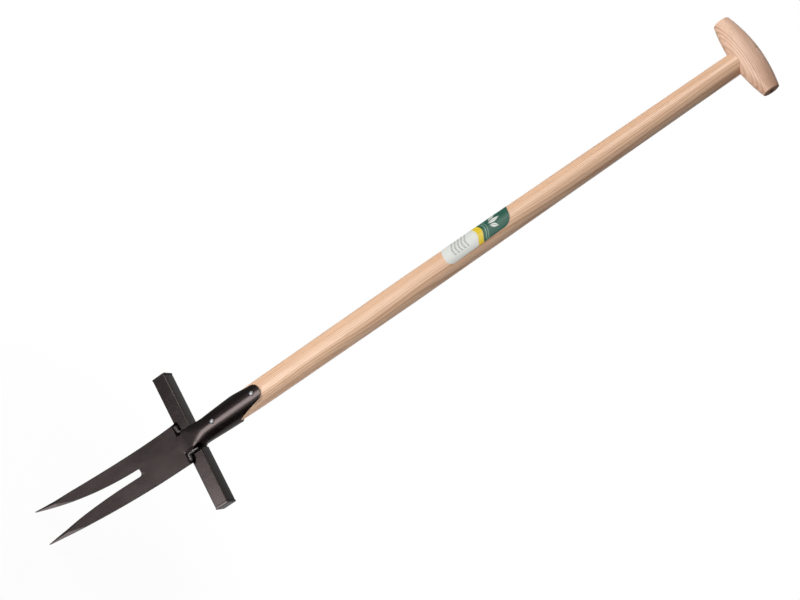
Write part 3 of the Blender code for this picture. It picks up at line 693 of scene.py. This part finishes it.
def thicken(name, points, cells, setBacks, sheets, angle):
    mesh = bpy.data.meshes.new(name)
    with editing(mesh) as bm:
        front = {key: bm.verts.new(point) for key, point in points.items()}
        for cell in cells:
            bm.faces.new([front[key] for key in cell])
        bm.normal_update()
        inward = {key: vert.normal.copy() for key, vert in front.items()}
        back = {key: bm.verts.new(points[key] + inward[key] * sheets[key]) for key in points}
        for key, vert in front.items():
            vert.co = points[key] + inward[key] * setBacks.get(key, 0.0)
        edges = {(a, c) for cell in cells for a, c in zip(cell, cell[1:] + cell[:1])}
        for cell in cells:
            bm.faces.new([back[key] for key in reversed(cell)])
        for a, c in sorted(edges):
            if (c, a) not in edges:
                bm.faces.new((front[c], front[a], back[a], back[c]))
        bmesh.ops.recalc_face_normals(bm, faces=bm.faces)
        for vert in bm.verts:
            vert.co = place(*vert.co)
    shade(mesh, angle)
    return mesh


def easeColumns(points):
    # evens out the swelling between blade and neck, up and down each column; less far down at the sides
    net = netForm
    near = []
    for side, column, row in points:
        low = net.easeLow + net.easeSlope * column
        inner = low < points[side, column, row].z < net.easeHigh and column < net.sideColumn
        if inner and (side, column, row - 1) in points and (side, column, row + 1) in points:
            near.append((side, column, row))
    for _ in range(net.easeRounds):
        eased = {(side, column, row): (points[side, column, row - 1].y + 2 * points[side, column, row].y
                                       + points[side, column, row + 1].y) / 4 for side, column, row in near}
        for key, y in eased.items():
            points[key].y = y


headPoints, *headRest = headNet()
easeColumns(headPoints)
headMesh = thicken("forkHead", headPoints, *headRest, netForm.sharpAngle)
markRims(headMesh, netForm.rimReach * mm)


def isGround(face):
    # the bevelled edges of the tines, from where the grinding starts
    x, z = abs(face.center.x) / mm, face.center.z / mm - treadLevel
    if z > -bladeForm.grindStart - 4 or face.normal.y > -0.25:
        return False
    outer, inner = bladeHalfWidth(z), slotHalfWidth(z)
    facet = facetAt(outer, inner, z)
    return x > outer - facet or x < inner + facet


markFaces(headMesh, "ground", isGround)
forkHead = newPiece("forkHead", headMesh, blackPaint)
finishPiece(forkHead, "black_steel", "fork_head")


# treads and their end caps

treadForm = Form({"side": 22.0, "wall": 2.0, "corner": 2.2, "span": 206.5, "front": -7.0, "inner": 17.3,
                  "steps": 8, "endBreak": 0.12, "boreCorner": 0.4})
capForm = Form({"flange": 3.6, "proud": 0.35, "plug": 12.0, "plugCorner": 0.6, "dome": 0.9, "groove": 0.6,
                "grooveDepth": 1.0})
treadOuter = treadForm.span / 2 - capForm.flange - fitGap
treadMiddle = treadForm.front + treadForm.side / 2


def squareRing(half, corner, x):
    points, steps = [], treadForm.steps
    for quarter in range(4):
        middle = math.radians(45 + 90 * quarter)
        reach = (half - corner) * math.sqrt(2)
        for i in range(steps + 1):
            a = middle + math.radians(-45 + 90 * i / steps)
            y = reach * math.cos(middle) + corner * math.cos(a)
            z = reach * math.sin(middle) + corner * math.sin(a)
            points.append(place(x, treadMiddle + y, z))
    return points


def makeTread(side, name):
    # x, half width and corner of each ring: out along the tube, back through its bore
    t = treadForm
    half, edge, corner = t.side / 2, t.endBreak, t.corner
    start = (t.inner, half - t.wall, t.boreCorner)
    plan = [start, (t.inner, half - edge, corner), (t.inner + edge, half, corner)]
    plan += [(x, half, corner) for x in spread(t.inner + edge, treadOuter - edge, 12)]
    plan += [(treadOuter, half - edge, corner - edge / 2), (treadOuter, half - t.wall, t.boreCorner), start]
    mesh = loftMesh(name, [squareRing(h, c, side * x) for x, h, c in plan], 30, caps=False)
    outward(mesh)
    shade(mesh, 30)
    return mesh


def makeCap(side, name):
    # the same from the plug's inner end outwards
    c, t = capForm, treadForm
    plug, flange = t.side / 2 - t.wall - fitGap, t.side / 2 + c.proud
    start, end, corner = treadOuter + fitGap, t.span / 2, t.corner
    tail, seam, floor = start - c.plug, start + c.groove, flange - c.grooveDepth
    plan = [(tail, plug - 1.2, c.plugCorner), (tail + 2, plug, c.plugCorner), (start, plug, c.plugCorner),
            (start, floor, corner * 0.8), (seam, floor, corner * 0.8), (seam, flange - 0.2, corner + 0.2),
            (seam + 0.2, flange, corner + 0.3), (end - c.dome, flange, corner + 0.3)]
    for i in range(1, 6):
        a = math.radians(90 * i / 5)
        plan.append((end - c.dome * (1 - math.sin(a)), flange - 2.4 * (1 - math.cos(a)), corner * 0.9))
    return loftMesh(name, [squareRing(h, k, side * x) for x, h, k in plan], 25)


for side, hand in ((-1, "left"), (1, "right")):
    treadMesh = makeTread(side, "tread" + hand.title())
    markRims(treadMesh, 1.5 * mm, 8)
    finishPiece(newPiece("tread" + hand.title(), treadMesh, blackPaint), "black_steel", "tread_" + hand)
    capMesh = makeCap(side, "treadCap" + hand.title())
    markRims(capMesh, 1.5 * mm, 20)
    # painted shade: the faces in the seam groove between the flange and the tube go near-black
    seamReach = treadForm.side / 2 - 0.7
    markFaces(capMesh, "seam", lambda face: max(
        abs(face.center.y / mm - treadMiddle), abs(face.center.z / mm - treadLevel)) < seamReach
        and abs(face.center.x) / mm < treadOuter + 1.5)
    finishPiece(newPiece("treadCap" + hand.title(), capMesh, capPlastic), "black_cap", "tread_cap_" + hand)


# weld beads, laid along paths by one Geometry Nodes tree


def join(*shapes):
    node = shapes[0].tree.nodes.new("GeometryNodeJoinGeometry")
    for shape in shapes:
        link(shape, node.inputs[0])
    return Wire(node.outputs[0])


def moved(shape, how, amount):
    # how is Offset or Position
    return addNode(shape.tree, "GeometryNodeSetPosition", {"Geometry": shape, how: amount})


def sweep(path, profile, radius):
    # a profile of radius 1 along a path, with closed ends
    return addNode(path.tree, "GeometryNodeCurveToMesh", {
        "Curve": path, "Profile Curve": profile, "Scale": radius, "Fill Caps": True})


def inFinish(shape, finish, where=True):
    inputs = {"Geometry": shape, "Selection": where, "Material": finish}
    return addNode(shape.tree, "GeometryNodeSetMaterial", inputs)


def realised(shape):
    return addNode(shape.tree, "GeometryNodeRealizeInstances", {0: shape})


weldForm = Form({
    "front": {"Radius": 3.1 * mm, "Ripple Pitch": 2.6 * mm, "Ripple Height": 0.8 * mm, "Lumps": 1.9 * mm,
              "Thinning": 0.4, "Flatten": 0.5, "Level": -9.8 * mm, "Scorch Reach": 0.9 * mm},
    "back": {"Radius": 2.1 * mm, "Ripple Pitch": 2.2 * mm, "Ripple Height": 0.35 * mm, "Lumps": 0.8 * mm,
             "Thinning": 0.0, "Flatten": 0.6, "Level": 15.1 * mm, "Scorch Reach": 0.8 * mm},
    # the left front bead sinks into the corner, by the tuck, where it is above tuckFrom
    "left": {"Thinning": 0.9, "Scorch Reach": 0.2 * mm}, "tuck": 1.1, "tuckFrom": -6,
    # the front one runs along the shoulder, round the inside corner and up the side of the neck
    "frontPath": [(28.0, -9.9, -8.2), (25.5, -10.0, -8.3), (22.5, -10.0, -8.2), (20.0, -10.1, -7.9),
                  (18.2, -10.2, -7.0), (17.2, -10.2, -5.2), (16.8, -10.0, -3.0), (16.6, -9.7, -0.4),
                  (16.5, -9.4, 2.6), (16.5, -9.1, 6.0), (16.5, -8.9, 9.4)],
    "backPath": [(19.4, 15.1, -8.6), (19.4, 15.1, -3.0), (19.4, 15.1, 3.0), (19.4, 15.1, 8.6)],
    "frontSeed": 3.1, "backSeed": 7.4})


def makeWeldTree():
    # a rippled bead that thins towards its far end, on a wider, flatter skirt along the same path: a
    # near-black sheet of painted shade round the bead's toe, with some scorch
    tree, given, out = newGroup("weldBead", geometryTree, {
        "Path": geometryKind, **weldForm.back, "Seed": 0.0, "Finish": materialKind,
        "Shade And Scorch Finish": materialKind}, {"Bead": geometryKind})
    path = addNode(tree, "GeometryNodeMeshToCurve", {0: given["Path"]})
    path = addNode(tree, "GeometryNodeResampleCurve", {"Curve": path, "Count": 120})
    spline = addNode(tree, "GeometryNodeSplineParameter")
    along = spline["Length"]
    fromEnd = smaller(along, addNode(tree, "GeometryNodeCurveLength", {0: path}) - along)
    dip = 1.0 - clamped(fromEnd / given["Radius"])
    domed = calc("SQRT", 1.0002 - dip * dip) * (1.0 - spline["Factor"] * given["Thinning"])
    wave = calc("SQRT", calc("FRACT", along / given["Ripple Pitch"])) - 0.6
    radius = larger(wave * given["Ripple Height"] + given["Radius"] * domed, 0.0002)
    profile = addNode(tree, "GeometryNodeCurvePrimitiveCircle", {"Resolution": 28, "Radius": 1.0})
    where = addNode(tree, "GeometryNodeInputPosition")
    lumps = (noise(where + given["Seed"], 260.0, output="Color") - (0.5, 0.5, 0.5)) * given["Lumps"]
    bead = moved(sweep(path, profile, radius), "Offset", lumps)
    # the skirt, a flat near-black sheet of painted shade, reaches a little past the bead
    wide = (given["Radius"] + given["Scorch Reach"]) * domed
    level = vectorOf(tree, Y=given["Level"])
    flatter = (where - level) * vectorOf(tree, X=1.0, Y=given["Flatten"], Z=1.0) + level + lumps
    skirt = moved(sweep(path, profile, wide), "Position", flatter)
    skirt = addNode(tree, "GeometryNodeStoreNamedAttribute", {
        "Geometry": skirt, "Name": "skirt", "Value": True}, data_type="BOOLEAN", domain="FACE")
    onSkirt = addNode(tree, "GeometryNodeInputNamedAttribute", {"Name": "skirt"}, data_type="BOOLEAN")
    done = inFinish(realised(join(bead, skirt)), given["Finish"])
    link(inFinish(done, given["Shade And Scorch Finish"], onSkirt), out["Bead"])
    return tree


def setInputs(piece, tree, values):
    modifier = piece.modifiers.new(tree.name, "NODES")
    modifier.node_group = tree
    for item in tree.interface.items_tree:
        if item.item_type == "SOCKET" and item.in_out == "INPUT" and item.name in values:
            modifier[item.identifier] = values[item.name]
    settle(piece)


weldTree = makeWeldTree()


def makeBead(name, side, path, sizes, seed, node):
    mesh = bpy.data.meshes.new(name)
    steps = [(i, i + 1) for i in range(len(path) - 1)]
    mesh.from_pydata([place(side * x, y, z) for x, y, z in path], steps, [])
    bead = newPiece(name, mesh)
    setInputs(bead, weldTree, {**sizes, "Seed": seed + side, "Finish": weldPaint, "Shade And Scorch Finish": weldShadeAndScorch})
    outward(bead.data)
    bead.data.shade_smooth()
    finishPiece(bead, "black_steel", node)


for side, hand in ((-1, "left"), (1, "right")):
    w = weldForm
    sizes, tuck = ({**w.front, **w.left}, w.tuck) if hand == "left" else (w.front, 0.0)
    path = [(x - tuck, y + tuck, z) if z > w.tuckFrom else (x, y, z) for x, y, z in w.frontPath]
    makeBead("weldFront" + hand.title(), side, path, sizes, w.frontSeed, "weld_front_" + hand)
    makeBead("weldBack" + hand.title(), side, w.backPath, w.back, w.backSeed, "weld_back_" + hand)


# nails: one Geometry Nodes tree sets a domed head and shank on each point

nailForm = Form({"heights": (120.7, 49.4), "lean": 12, "sizes": {
    "Head Radius": 3.6 * mm, "Head Height": 1.9 * mm, "Rim": 0.35 * mm, "Shank Radius": 1.7 * mm,
    "Shank Length": 32.0 * mm}})


def makeNailTree():
    tree, given, out = newGroup("domedNails", geometryTree, {
        "Points": geometryKind, **nailForm.sizes, "Finish": materialKind}, {"Nails": geometryKind})
    ball = addNode(tree, "GeometryNodeMeshUVSphere", {"Segments": 48, "Rings": 32, "Radius": 1.0})
    parts = split(addNode(tree, "GeometryNodeInputPosition"))
    above = larger(parts["Z"], 0.0) * given["Head Height"]
    below = smaller(parts["Z"], 0.0) * given["Rim"]
    size = given["Head Radius"]
    head = moved(ball, "Position", vectorOf(tree, X=parts["X"] * size, Y=parts["Y"] * size, Z=above + below))
    shank = addNode(tree, "GeometryNodeMeshCylinder", {
        "Vertices": 24, "Radius": given["Shank Radius"], "Depth": given["Shank Length"]})
    drop = vectorOf(tree, Z=given["Shank Length"] * -0.5)
    shank = addNode(tree, "GeometryNodeTransform", {"Geometry": shank, "Translation": drop})
    placed = addNode(tree, "GeometryNodeInstanceOnPoints", {
        "Points": given["Points"], "Instance": join(head, shank),
        "Rotation": (math.radians(90), 0, math.radians(nailForm.lean))})
    link(inFinish(realised(placed), given["Finish"]), out["Nails"])
    return tree


nailMesh = bpy.data.meshes.new("nails")
nailMesh.from_pydata([place(0, -socketRadius(h) - fitGap, h) for h in nailForm.heights], [], [])
nails = newPiece("nails", nailMesh)
setInputs(nails, makeNailTree(), {**nailForm.sizes, "Finish": zincPlate})
shade(nails.data, 50)
finishPiece(nails, "zinc", "nail_upper", "nail_lower")


# turned wood: shaft and grip from one Geometry Nodes tree whose radius follows a rule


def makeTurningTree():
    # radius = low to high from Taper From on, less Toe Drop below Seat To, plus Belly in the middle
    tree, given, out = newGroup("turnedWood", geometryTree, {
        "Start": vectorKind, "End": vectorKind, "Low Radius": 0.018, "High Radius": 0.014,
        "Taper From": 0.4, "Toe Drop": 0.0, "Seat To": 0.15, "Belly": 0.0, "Turn": 0.0, "Rings": 120,
        "Sides": 96, "Finish": materialKind}, {"Turning": geometryKind})
    line = addNode(tree, "GeometryNodeCurvePrimitiveLine", {"Start": given["Start"], "End": given["End"]})
    line = addNode(tree, "GeometryNodeResampleCurve", {"Curve": line, "Count": given["Rings"]})
    t = addNode(tree, "GeometryNodeSplineParameter")["Factor"]
    taper = ramp(t, given["Taper From"], 1.0, kind="LINEAR")
    radius = taper * (given["High Radius"] - given["Low Radius"]) + given["Low Radius"]
    seat = calc("SUBTRACT", 1.0, t / given["Seat To"], clamp=True)
    radius = radius - given["Toe Drop"] * (seat * seat)
    radius = t * 4.0 * (1.0 - t) * given["Belly"] + radius
    profile = addNode(tree, "GeometryNodeCurvePrimitiveCircle", {"Resolution": given["Sides"], "Radius": 1.0})
    profile = addNode(tree, "GeometryNodeTransform", {
        "Geometry": profile, "Rotation": vectorOf(tree, Z=given["Turn"])})
    link(inFinish(realised(sweep(line, profile, radius)), given["Finish"]), out["Turning"])
    return tree


turningTree = makeTurningTree()
gripForm = Form({"length": 104.4, "radius": 17.0, "endRadius": 10.0, "endRound": 0.7, "centreHole": 2.2,
                 "centreDepth": 4.0, "sides": 96, "rings": 120})
# the stub joins the tenon to the shoulder, out of sight in the bore
tenonForm = Form({"radius": 10.0, "wedgeWidth": 2.6, "wedgeToe": 0.9, "wedgeReach": 16, "joint": 0.12,
                  "stubSlack": 0.1, "rodSides": 48, "low": -4, "past": 40})


def turnPiece(name, sizes):
    piece = newPiece(name, bpy.data.meshes.new(name))
    setInputs(piece, turningTree, sizes)
    outward(piece.data)
    return piece


def gripSizes(extra, finish):
    g = gripForm
    half, end = (g.length / 2 + extra) * mm, (g.endRadius + extra) * mm
    return {"Start": (-half, 0, g.radius * mm), "End": (half, 0, g.radius * mm), "Low Radius": end,
            "High Radius": end, "Belly": (g.radius - g.endRadius) * mm, "Rings": g.rings, "Sides": g.sides,
            "Finish": finish}


def rod(name, radius, low, high, tip=None, sideways=False):
    # a plain helper rod for the joints, from the underside of the grip; sideways, along the grip's axis
    rings, sides = [], tenonForm.rodSides
    for end, size in ((low, radius), (high, tip or radius)):
        # turned a little off the other pieces' own corners, so that no cut meets one
        angles = [2 * math.pi * (i + 0.3) / sides for i in range(sides)]
        circle = [(size * math.cos(a), size * math.sin(a)) for a in angles]
        ring = [(end, u, v + gripForm.radius) if sideways else (u, v, end) for u, v in circle]
        rings.append([Vector(point) * mm for point in ring])
    return newPiece(name, loftMesh(name, rings))


def wedgeKerf():
    t, g = tenonForm, gripForm
    rings, reach = [], t.wedgeReach
    for z in (g.radius, g.radius + 30):
        grown = t.wedgeToe + (t.wedgeWidth - t.wedgeToe) * (z - g.radius) / g.radius
        half = grown / 2 + t.joint
        corners = ((-half, -reach), (half, -reach), (half, reach), (-half, reach))
        rings.append([Vector((x, y, z)) * mm for x, y in corners])
    return newPiece("wedgeKerf", loftMesh("wedgeKerf", rings))


def makeGrip():
    g = gripForm
    grip = turnPiece("turnedGrip", gripSizes(0.0, gripAsh))
    bevel = grip.modifiers.new("endRound", "BEVEL")
    bevel.width, bevel.segments, bevel.limit_method = g.endRound * mm, 3, "ANGLE"
    bevel.angle_limit = math.radians(40)
    settle(grip)
    cutters = [rod("bore", tenonForm.radius + tenonForm.joint, -6, tenonForm.past)]
    half = g.length / 2
    for side in (-1, 1):
        low, high = side * (half - g.centreDepth), side * (half + 0.6)
        cutters.append(rod("hole", g.centreHole, low, high, g.centreHole * 1.15, True))
    for cutter in cutters:
        carve(grip, cutter)
        bpy.data.objects.remove(cutter)
    shade(grip.data, 35)
    markRims(grip.data, 1.2 * mm, 25)
    markFaces(grip.data, "cutEnd", lambda face: (
        abs(face.center.x) > (half - 1) * mm and abs(face.normal.x) > 0.9))
    # painted shade: the faces inside the centre holes go near-black
    markFaces(grip.data, "hollow", lambda face: abs(face.center.x) > (half - g.centreDepth - 1) * mm
              and math.hypot(face.center.y, face.center.z - g.radius * mm) < 1.2 * g.centreHole * mm)
    return grip


def makeShaft():
    s, g, t = shaftForm, gripForm, tenonForm
    low, high = s.toeHeight + treadLevel, g.radius
    length = high - low
    top = s.topRadius - (s.radius - s.topRadius) * high / (-treadLevel - s.taperStart)
    shaft = turnPiece("turnedShaft", {
        "Start": (0, 0, low * mm), "End": (0, 0, high * mm), "Low Radius": s.radius * mm,
        "High Radius": top * mm, "Taper From": (s.taperStart + treadLevel - low) / length,
        "Toe Drop": s.toeDrop * mm, "Seat To": (s.seatTop - s.toeHeight) / length,
        "Turn": s.turn, "Rings": s.rings, "Sides": s.sides, "Finish": shaftAsh})
    tenon = rod("tenon", t.radius, t.low, t.past)
    steps = [(shaft, turnPiece("cope", gripSizes(t.joint, shaftAsh)), "DIFFERENCE"),
             (tenon, turnPiece("flush", gripSizes(0.0, shaftAsh)), "INTERSECT"),
             (tenon, rod("stub", t.radius - t.stubSlack, -5, 5), "UNION"),
             (tenon, wedgeKerf(), "DIFFERENCE"),
             (shaft, tenon, "UNION")]
    for body, cutter, operation in steps:
        carve(body, cutter, operation)
        bpy.data.objects.remove(cutter)
    shade(shaft.data, 35)
    markFaces(shaft.data, "cutEnd", lambda face: face.center.z > 1.5 * g.radius * mm, 0.25)
    return shaft


finishPiece(makeGrip(), "ash_wood", "grip")
finishPiece(makeShaft(), "ash_wood", "shaft")
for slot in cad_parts["grip_wedge"].material_slots:
    slot.material = wedgeOak


# sticker: a thin skin round the shaft with a made-up print, measured across and along it

labelForm = Form({
    "low": 440.0, "length": 100.5, "width": 43.0, "turn": -36.0, "corner": 10.0, "topCorner": 15.0,
    "skin": 0.25, "skew": 3.4, "columns": 72, "rows": 96,
    "green": (0.017, 0.088, 0.058), "leafGreen": (0.3, 0.46, 0.36), "yellow": (0.68, 0.5, 0.02),
    "white": (0.65, 0.66, 0.62), "grey": (0.16, 0.17, 0.165), "speck": (0.5, 0.48, 0.44),
    "yellowFrom": 49.0, "greenFrom": 57.0, "hillLines": ((61.0, 61.9), (64.2, 64.9)),
    # each leaf's place, tilt, length and width
    "leaves": ((3.0, 79.0, 0.0, 17.0, 6.4), (-4.5, 77.0, 38.0, 13.0, 5.2), (10.5, 77.0, -38.0, 13.0, 5.2)),
    "furrows": (14.0, 19.0, 24.0, 29.0, 34.0), "furrowWidth": 2.4, "furrowReach": 13.5})


def makeLabelMesh():
    form, grid, flat = labelForm, {}, {}
    mesh = bpy.data.meshes.new("label")
    with editing(mesh) as bm:
        uvLayer = bm.loops.layers.uv.new("print")
        for i in range(form.columns + 1):
            across = -form.width / 2 * math.cos(math.pi * i / form.columns)
            fromEdge = form.width / 2 - abs(across)
            inset, topInset = [corner - math.sqrt(corner**2 - max(0.0, corner - fromEdge) ** 2)
                               for corner in (form.corner, form.topCorner)]
            for j in range(form.rows + 1):
                along = mix(inset, form.length - topInset, j / form.rows)
                z = form.low + along
                twist = form.skew * (0.5 - along / form.length) * 2
                angle = math.radians(form.turn + twist) + across / shaftForm.radius
                radius = seatRadius(z) + fitGap - 0.06 * (1 - smooth(fromEdge))
                grid[i, j] = bm.verts.new(place(radius * math.sin(angle), -radius * math.cos(angle), z))
                flat[i, j] = (across * mm, along * mm)
        for i in range(form.columns):
            for j in range(form.rows):
                keys = ((i, j), (i + 1, j), (i + 1, j + 1), (i, j + 1))
                face = bm.faces.new([grid[key] for key in keys])
                for loop, key in zip(face.loops, keys):
                    loop[uvLayer].uv = flat[key]
    mesh.shade_smooth()
    return mesh


def labelFinish(form):
    made, tree, target, coords = startMaterial("labelPrint", Specular_IOR_Level=0.5)
    parts = split(addNode(tree, "ShaderNodeUVMap", uv_map="print"))
    across, along = parts["X"] / mm, parts["Y"] / mm

    def soft(value, edge=0.0, width=0.35):
        return ramp(value, edge - width, edge + width)

    def stripe(value, low, high):
        return soft(value, low) * (1.0 - soft(value, high))

    def leaf(x, y, tilt, length, width):
        c, s = math.cos(math.radians(tilt)), math.sin(math.radians(tilt))
        dx, dy = across - x, along - y
        aside = calc("ABSOLUTE", dx * c + dy * s)
        ahead = calc("ABSOLUTE", (dy * c - dx * s) / (length / 2))
        bulge = 1.0 - calc("POWER", ahead, 1.6)
        return soft(bulge * (width / 2) - aside) * soft(aside - 0.22, 0.0, 0.2)

    hill = along - calc("SINE", across * 0.16 + 0.5) * 3.2
    colour = blend(soft(hill, form.yellowFrom), form.white, form.yellow)
    colour = blend(soft(hill, form.greenFrom), colour, form.green)
    (lowA, highA), (lowB, highB) = form.hillLines
    hills = larger(stripe(hill, lowA, highA), stripe(hill, lowB, highB))
    colour = blend(hills * 0.7, colour, form.leafGreen)
    sprig = 0.0
    for sizes in form.leaves:
        sprig = larger(leaf(*sizes), sprig)
    colour = blend(sprig, colour, form.white)
    field = calc("SINE", across * 0.3) * 0.9 + along
    rows = 0.0
    for low in form.furrows:
        rows = larger(stripe(field, low, low + form.furrowWidth), rows)
    inside = 1.0 - soft(calc("ABSOLUTE", across), form.furrowReach)
    rows = rows * inside * ramp(calc("SINE", across * 2.6), -0.6, 0.2)
    colour = blend(rows * 0.85, colour, form.grey)
    dust = useGroup(fineDust, coords, {"Speck Size": 0.0008, "Amount": 0.25})
    link(blend(dust["Specks"], colour, form.speck), target["Base Color"])
    link(dust["Smear"] * 0.1 + 0.34, target["Roughness"])
    addBump(target, noise(coords, 420.0), 0.15, 0.0002)
    return made


label = newPiece("labelSkin", makeLabelMesh(), labelFinish(labelForm))
solid = label.modifiers.new("skin", "SOLIDIFY")
solid.thickness, solid.offset = labelForm.skin * mm, -1.0
settle(label)
outward(label.data)
shade(label.data, 50)
finishPiece(label, "label_paper", "label")


# floor, light and camera

cameraForm = Form({
    "place": (0.40209, -1.31943, -0.1414), "lens": 49.363,
    "right": (0.48469368, 0.36184894, 0.79632743), "up": (-0.82890685, -0.10064787, 0.55025762),
    "back": (0.27925879, -0.92678765, 0.25115568)})
floorForm = Form({"level": -1.0935, "radius": 6.0, "shadowReach": 0.5, "shadowPart": 0.12, "lift": 0.5,
                  "albedo": 0.85})
aimPoint = (0.0, 0.0, -0.6)
both, diffuse, glossy = ("diffuse", "glossy"), ("diffuse",), ("glossy",)
# soft boxes: place, size, radiance and the rays that see each
lightForm = {
    "front": ((-0.8, -2.2, -0.8), (1.5, 2.4), 2.45, diffuse),
    "strip": ((-1.22, -2.3, -1.05), (0.5, 1.1), 4.2, both),
    "highStrip": ((-1.2, -2.3, 0.05), (0.42, 1.1), 8.3, both),
    "lowStrip": ((0.255, -2.3, -1.9), (1.34, 1.5), 7.2, glossy),
    "high": ((-0.85, -1.75, 0.45), (0.8, 0.5), 5.0, glossy),
    "lowLeft": ((-0.9, -1.1, -1.9), (1.4, 1.2), 2.6, diffuse),
    "upper": ((-1.5, -0.7, 0.9), (1.4, 1.4), 2.5, diffuse),
    "bounce": ((0.7, -0.15, -1.3), (0.5, 0.5), 7.0, diffuse),
    "rear": ((-0.9, 2.0, 0.1), (1.2, 1.8), 2.0, diffuse)}
# the light tent as gloss sees it: white, with soft dark sides and a dimmer roof
worldForm = Form({"ambient": 0.12, "roof": 0.5, "sides": (
    {"azimuth": 71, "elevation": -33, "core": 22, "edge": 31, "low": 0.01},
    {"azimuth": -108, "elevation": -17, "core": 34, "edge": 70, "low": 0.13},
    {"azimuth": -32, "elevation": -26, "core": 14, "edge": 36, "low": 0.25},
    {"azimuth": 148, "elevation": -28, "core": 30, "edge": 50, "low": 0.5},
    {"azimuth": 178, "elevation": 29, "core": 8, "edge": 22, "low": 0.4})})


def mirrored(path):
    return larger(path["Is Glossy Ray"], path["Is Transmission Ray"])


def makeFloor():
    f = floorForm
    mesh = bpy.data.meshes.new("floor")
    with editing(mesh) as bm:
        bmesh.ops.create_circle(bm, cap_ends=True, segments=96, radius=f.radius)
        bmesh.ops.translate(bm, verts=bm.verts, vec=(0, 0, f.level))
    made = bpy.data.materials.new("paleFloor")
    made.use_nodes = True
    tree = made.node_tree
    tree.nodes.clear()
    away = calc("LENGTH", addNode(tree, "ShaderNodeTexCoord", output="Object") * (1.0, 1.0, 0.0))
    near = ramp(away, 0.15, f.shadowReach, f.shadowPart, 0.0)
    matte = addNode(tree, "ShaderNodeBsdfDiffuse", {"Color": (f.albedo, f.albedo, f.albedo, 1)})
    white = addNode(tree, "ShaderNodeEmission", {"Strength": near * f.lift + 1.0})
    pale = addNode(tree, "ShaderNodeMixShader", {0: near, 1: white, 2: matte})
    path = addNode(tree, "ShaderNodeLightPath")
    seen = larger(path["Is Camera Ray"], mirrored(path))
    whole = addNode(tree, "ShaderNodeMixShader", {0: seen, 1: matte, 2: pale})
    link(whole, tree.nodes.new("ShaderNodeOutputMaterial").inputs["Surface"])
    floor = newPiece("floor", mesh, made)
    # it only catches the shadow: the key light stands lower than the tines' tips
    floor.visible_shadow = floor.visible_diffuse = floor.visible_glossy = False


def makeWorld():
    w = worldForm
    world = bpy.data.worlds.new("lightTent")
    bpy.context.scene.world = world
    world.use_nodes = True
    tree = world.node_tree
    tree.nodes.clear()
    direction = addNode(tree, "ShaderNodeTexCoord", output="Generated")
    tent = ramp(split(direction)["Z"], 0.1, 0.45, 1.0, w.roof)
    for dim in map(Form, w.sides):
        around, up = math.radians(dim.azimuth), math.radians(dim.elevation)
        towards = (math.sin(around) * math.cos(up), -math.cos(around) * math.cos(up), math.sin(up))
        core, edge = math.cos(math.radians(dim.core)), math.cos(math.radians(dim.edge))
        tent = tent * ramp(calc("DOT_PRODUCT", direction, towards), edge, core, 1.0, dim.low)
    path = addNode(tree, "ShaderNodeLightPath")
    strength = mirrored(path) * (tent - w.ambient) + w.ambient
    strength = path["Is Camera Ray"] * (1.0 - strength) + strength
    ground = addNode(tree, "ShaderNodeBackground", {"Color": (1, 1, 1, 1), "Strength": strength})
    link(ground, tree.nodes.new("ShaderNodeOutputWorld").inputs["Surface"])


def stand(name, data, where, axes):
    # puts a lamp or camera in place, turned to its right, up and back
    holder = bpy.data.objects.new(name, data)
    bpy.context.scene.collection.objects.link(holder)
    holder.matrix_world = Matrix.Translation(where) @ Matrix(axes).transposed().to_4x4()
    return holder


def makeLight(name, where, size, radiance, seen):
    lamp = bpy.data.lights.new(name, "AREA")
    lamp.shape = "RECTANGLE"
    lamp.size, lamp.size_y = size
    lamp.energy = radiance * math.pi * size[0] * size[1]
    back = (Vector(where) - Vector(aimPoint)).normalized()
    side = Vector((0, 0, 1)).cross(back).normalized()
    holder = stand(name, lamp, where, (side, back.cross(side), back))
    holder.visible_camera = False
    holder.visible_diffuse, holder.visible_glossy = "diffuse" in seen, "glossy" in seen


def makeCamera():
    c = cameraForm
    lens = bpy.data.cameras.new("camera")
    lens.sensor_width, lens.lens = 36.0, c.lens
    lens.clip_start, lens.clip_end = 0.05, 50.0
    bpy.context.scene.camera = stand("camera", lens, c.place, (c.right, c.up, c.back))


makeFloor()
makeWorld()
for lampName, lampSizes in lightForm.items():
    makeLight(lampName, *lampSizes)
makeCamera()
bpy.context.scene.view_settings.view_transform = "Standard"
print("floor, lights and camera set")
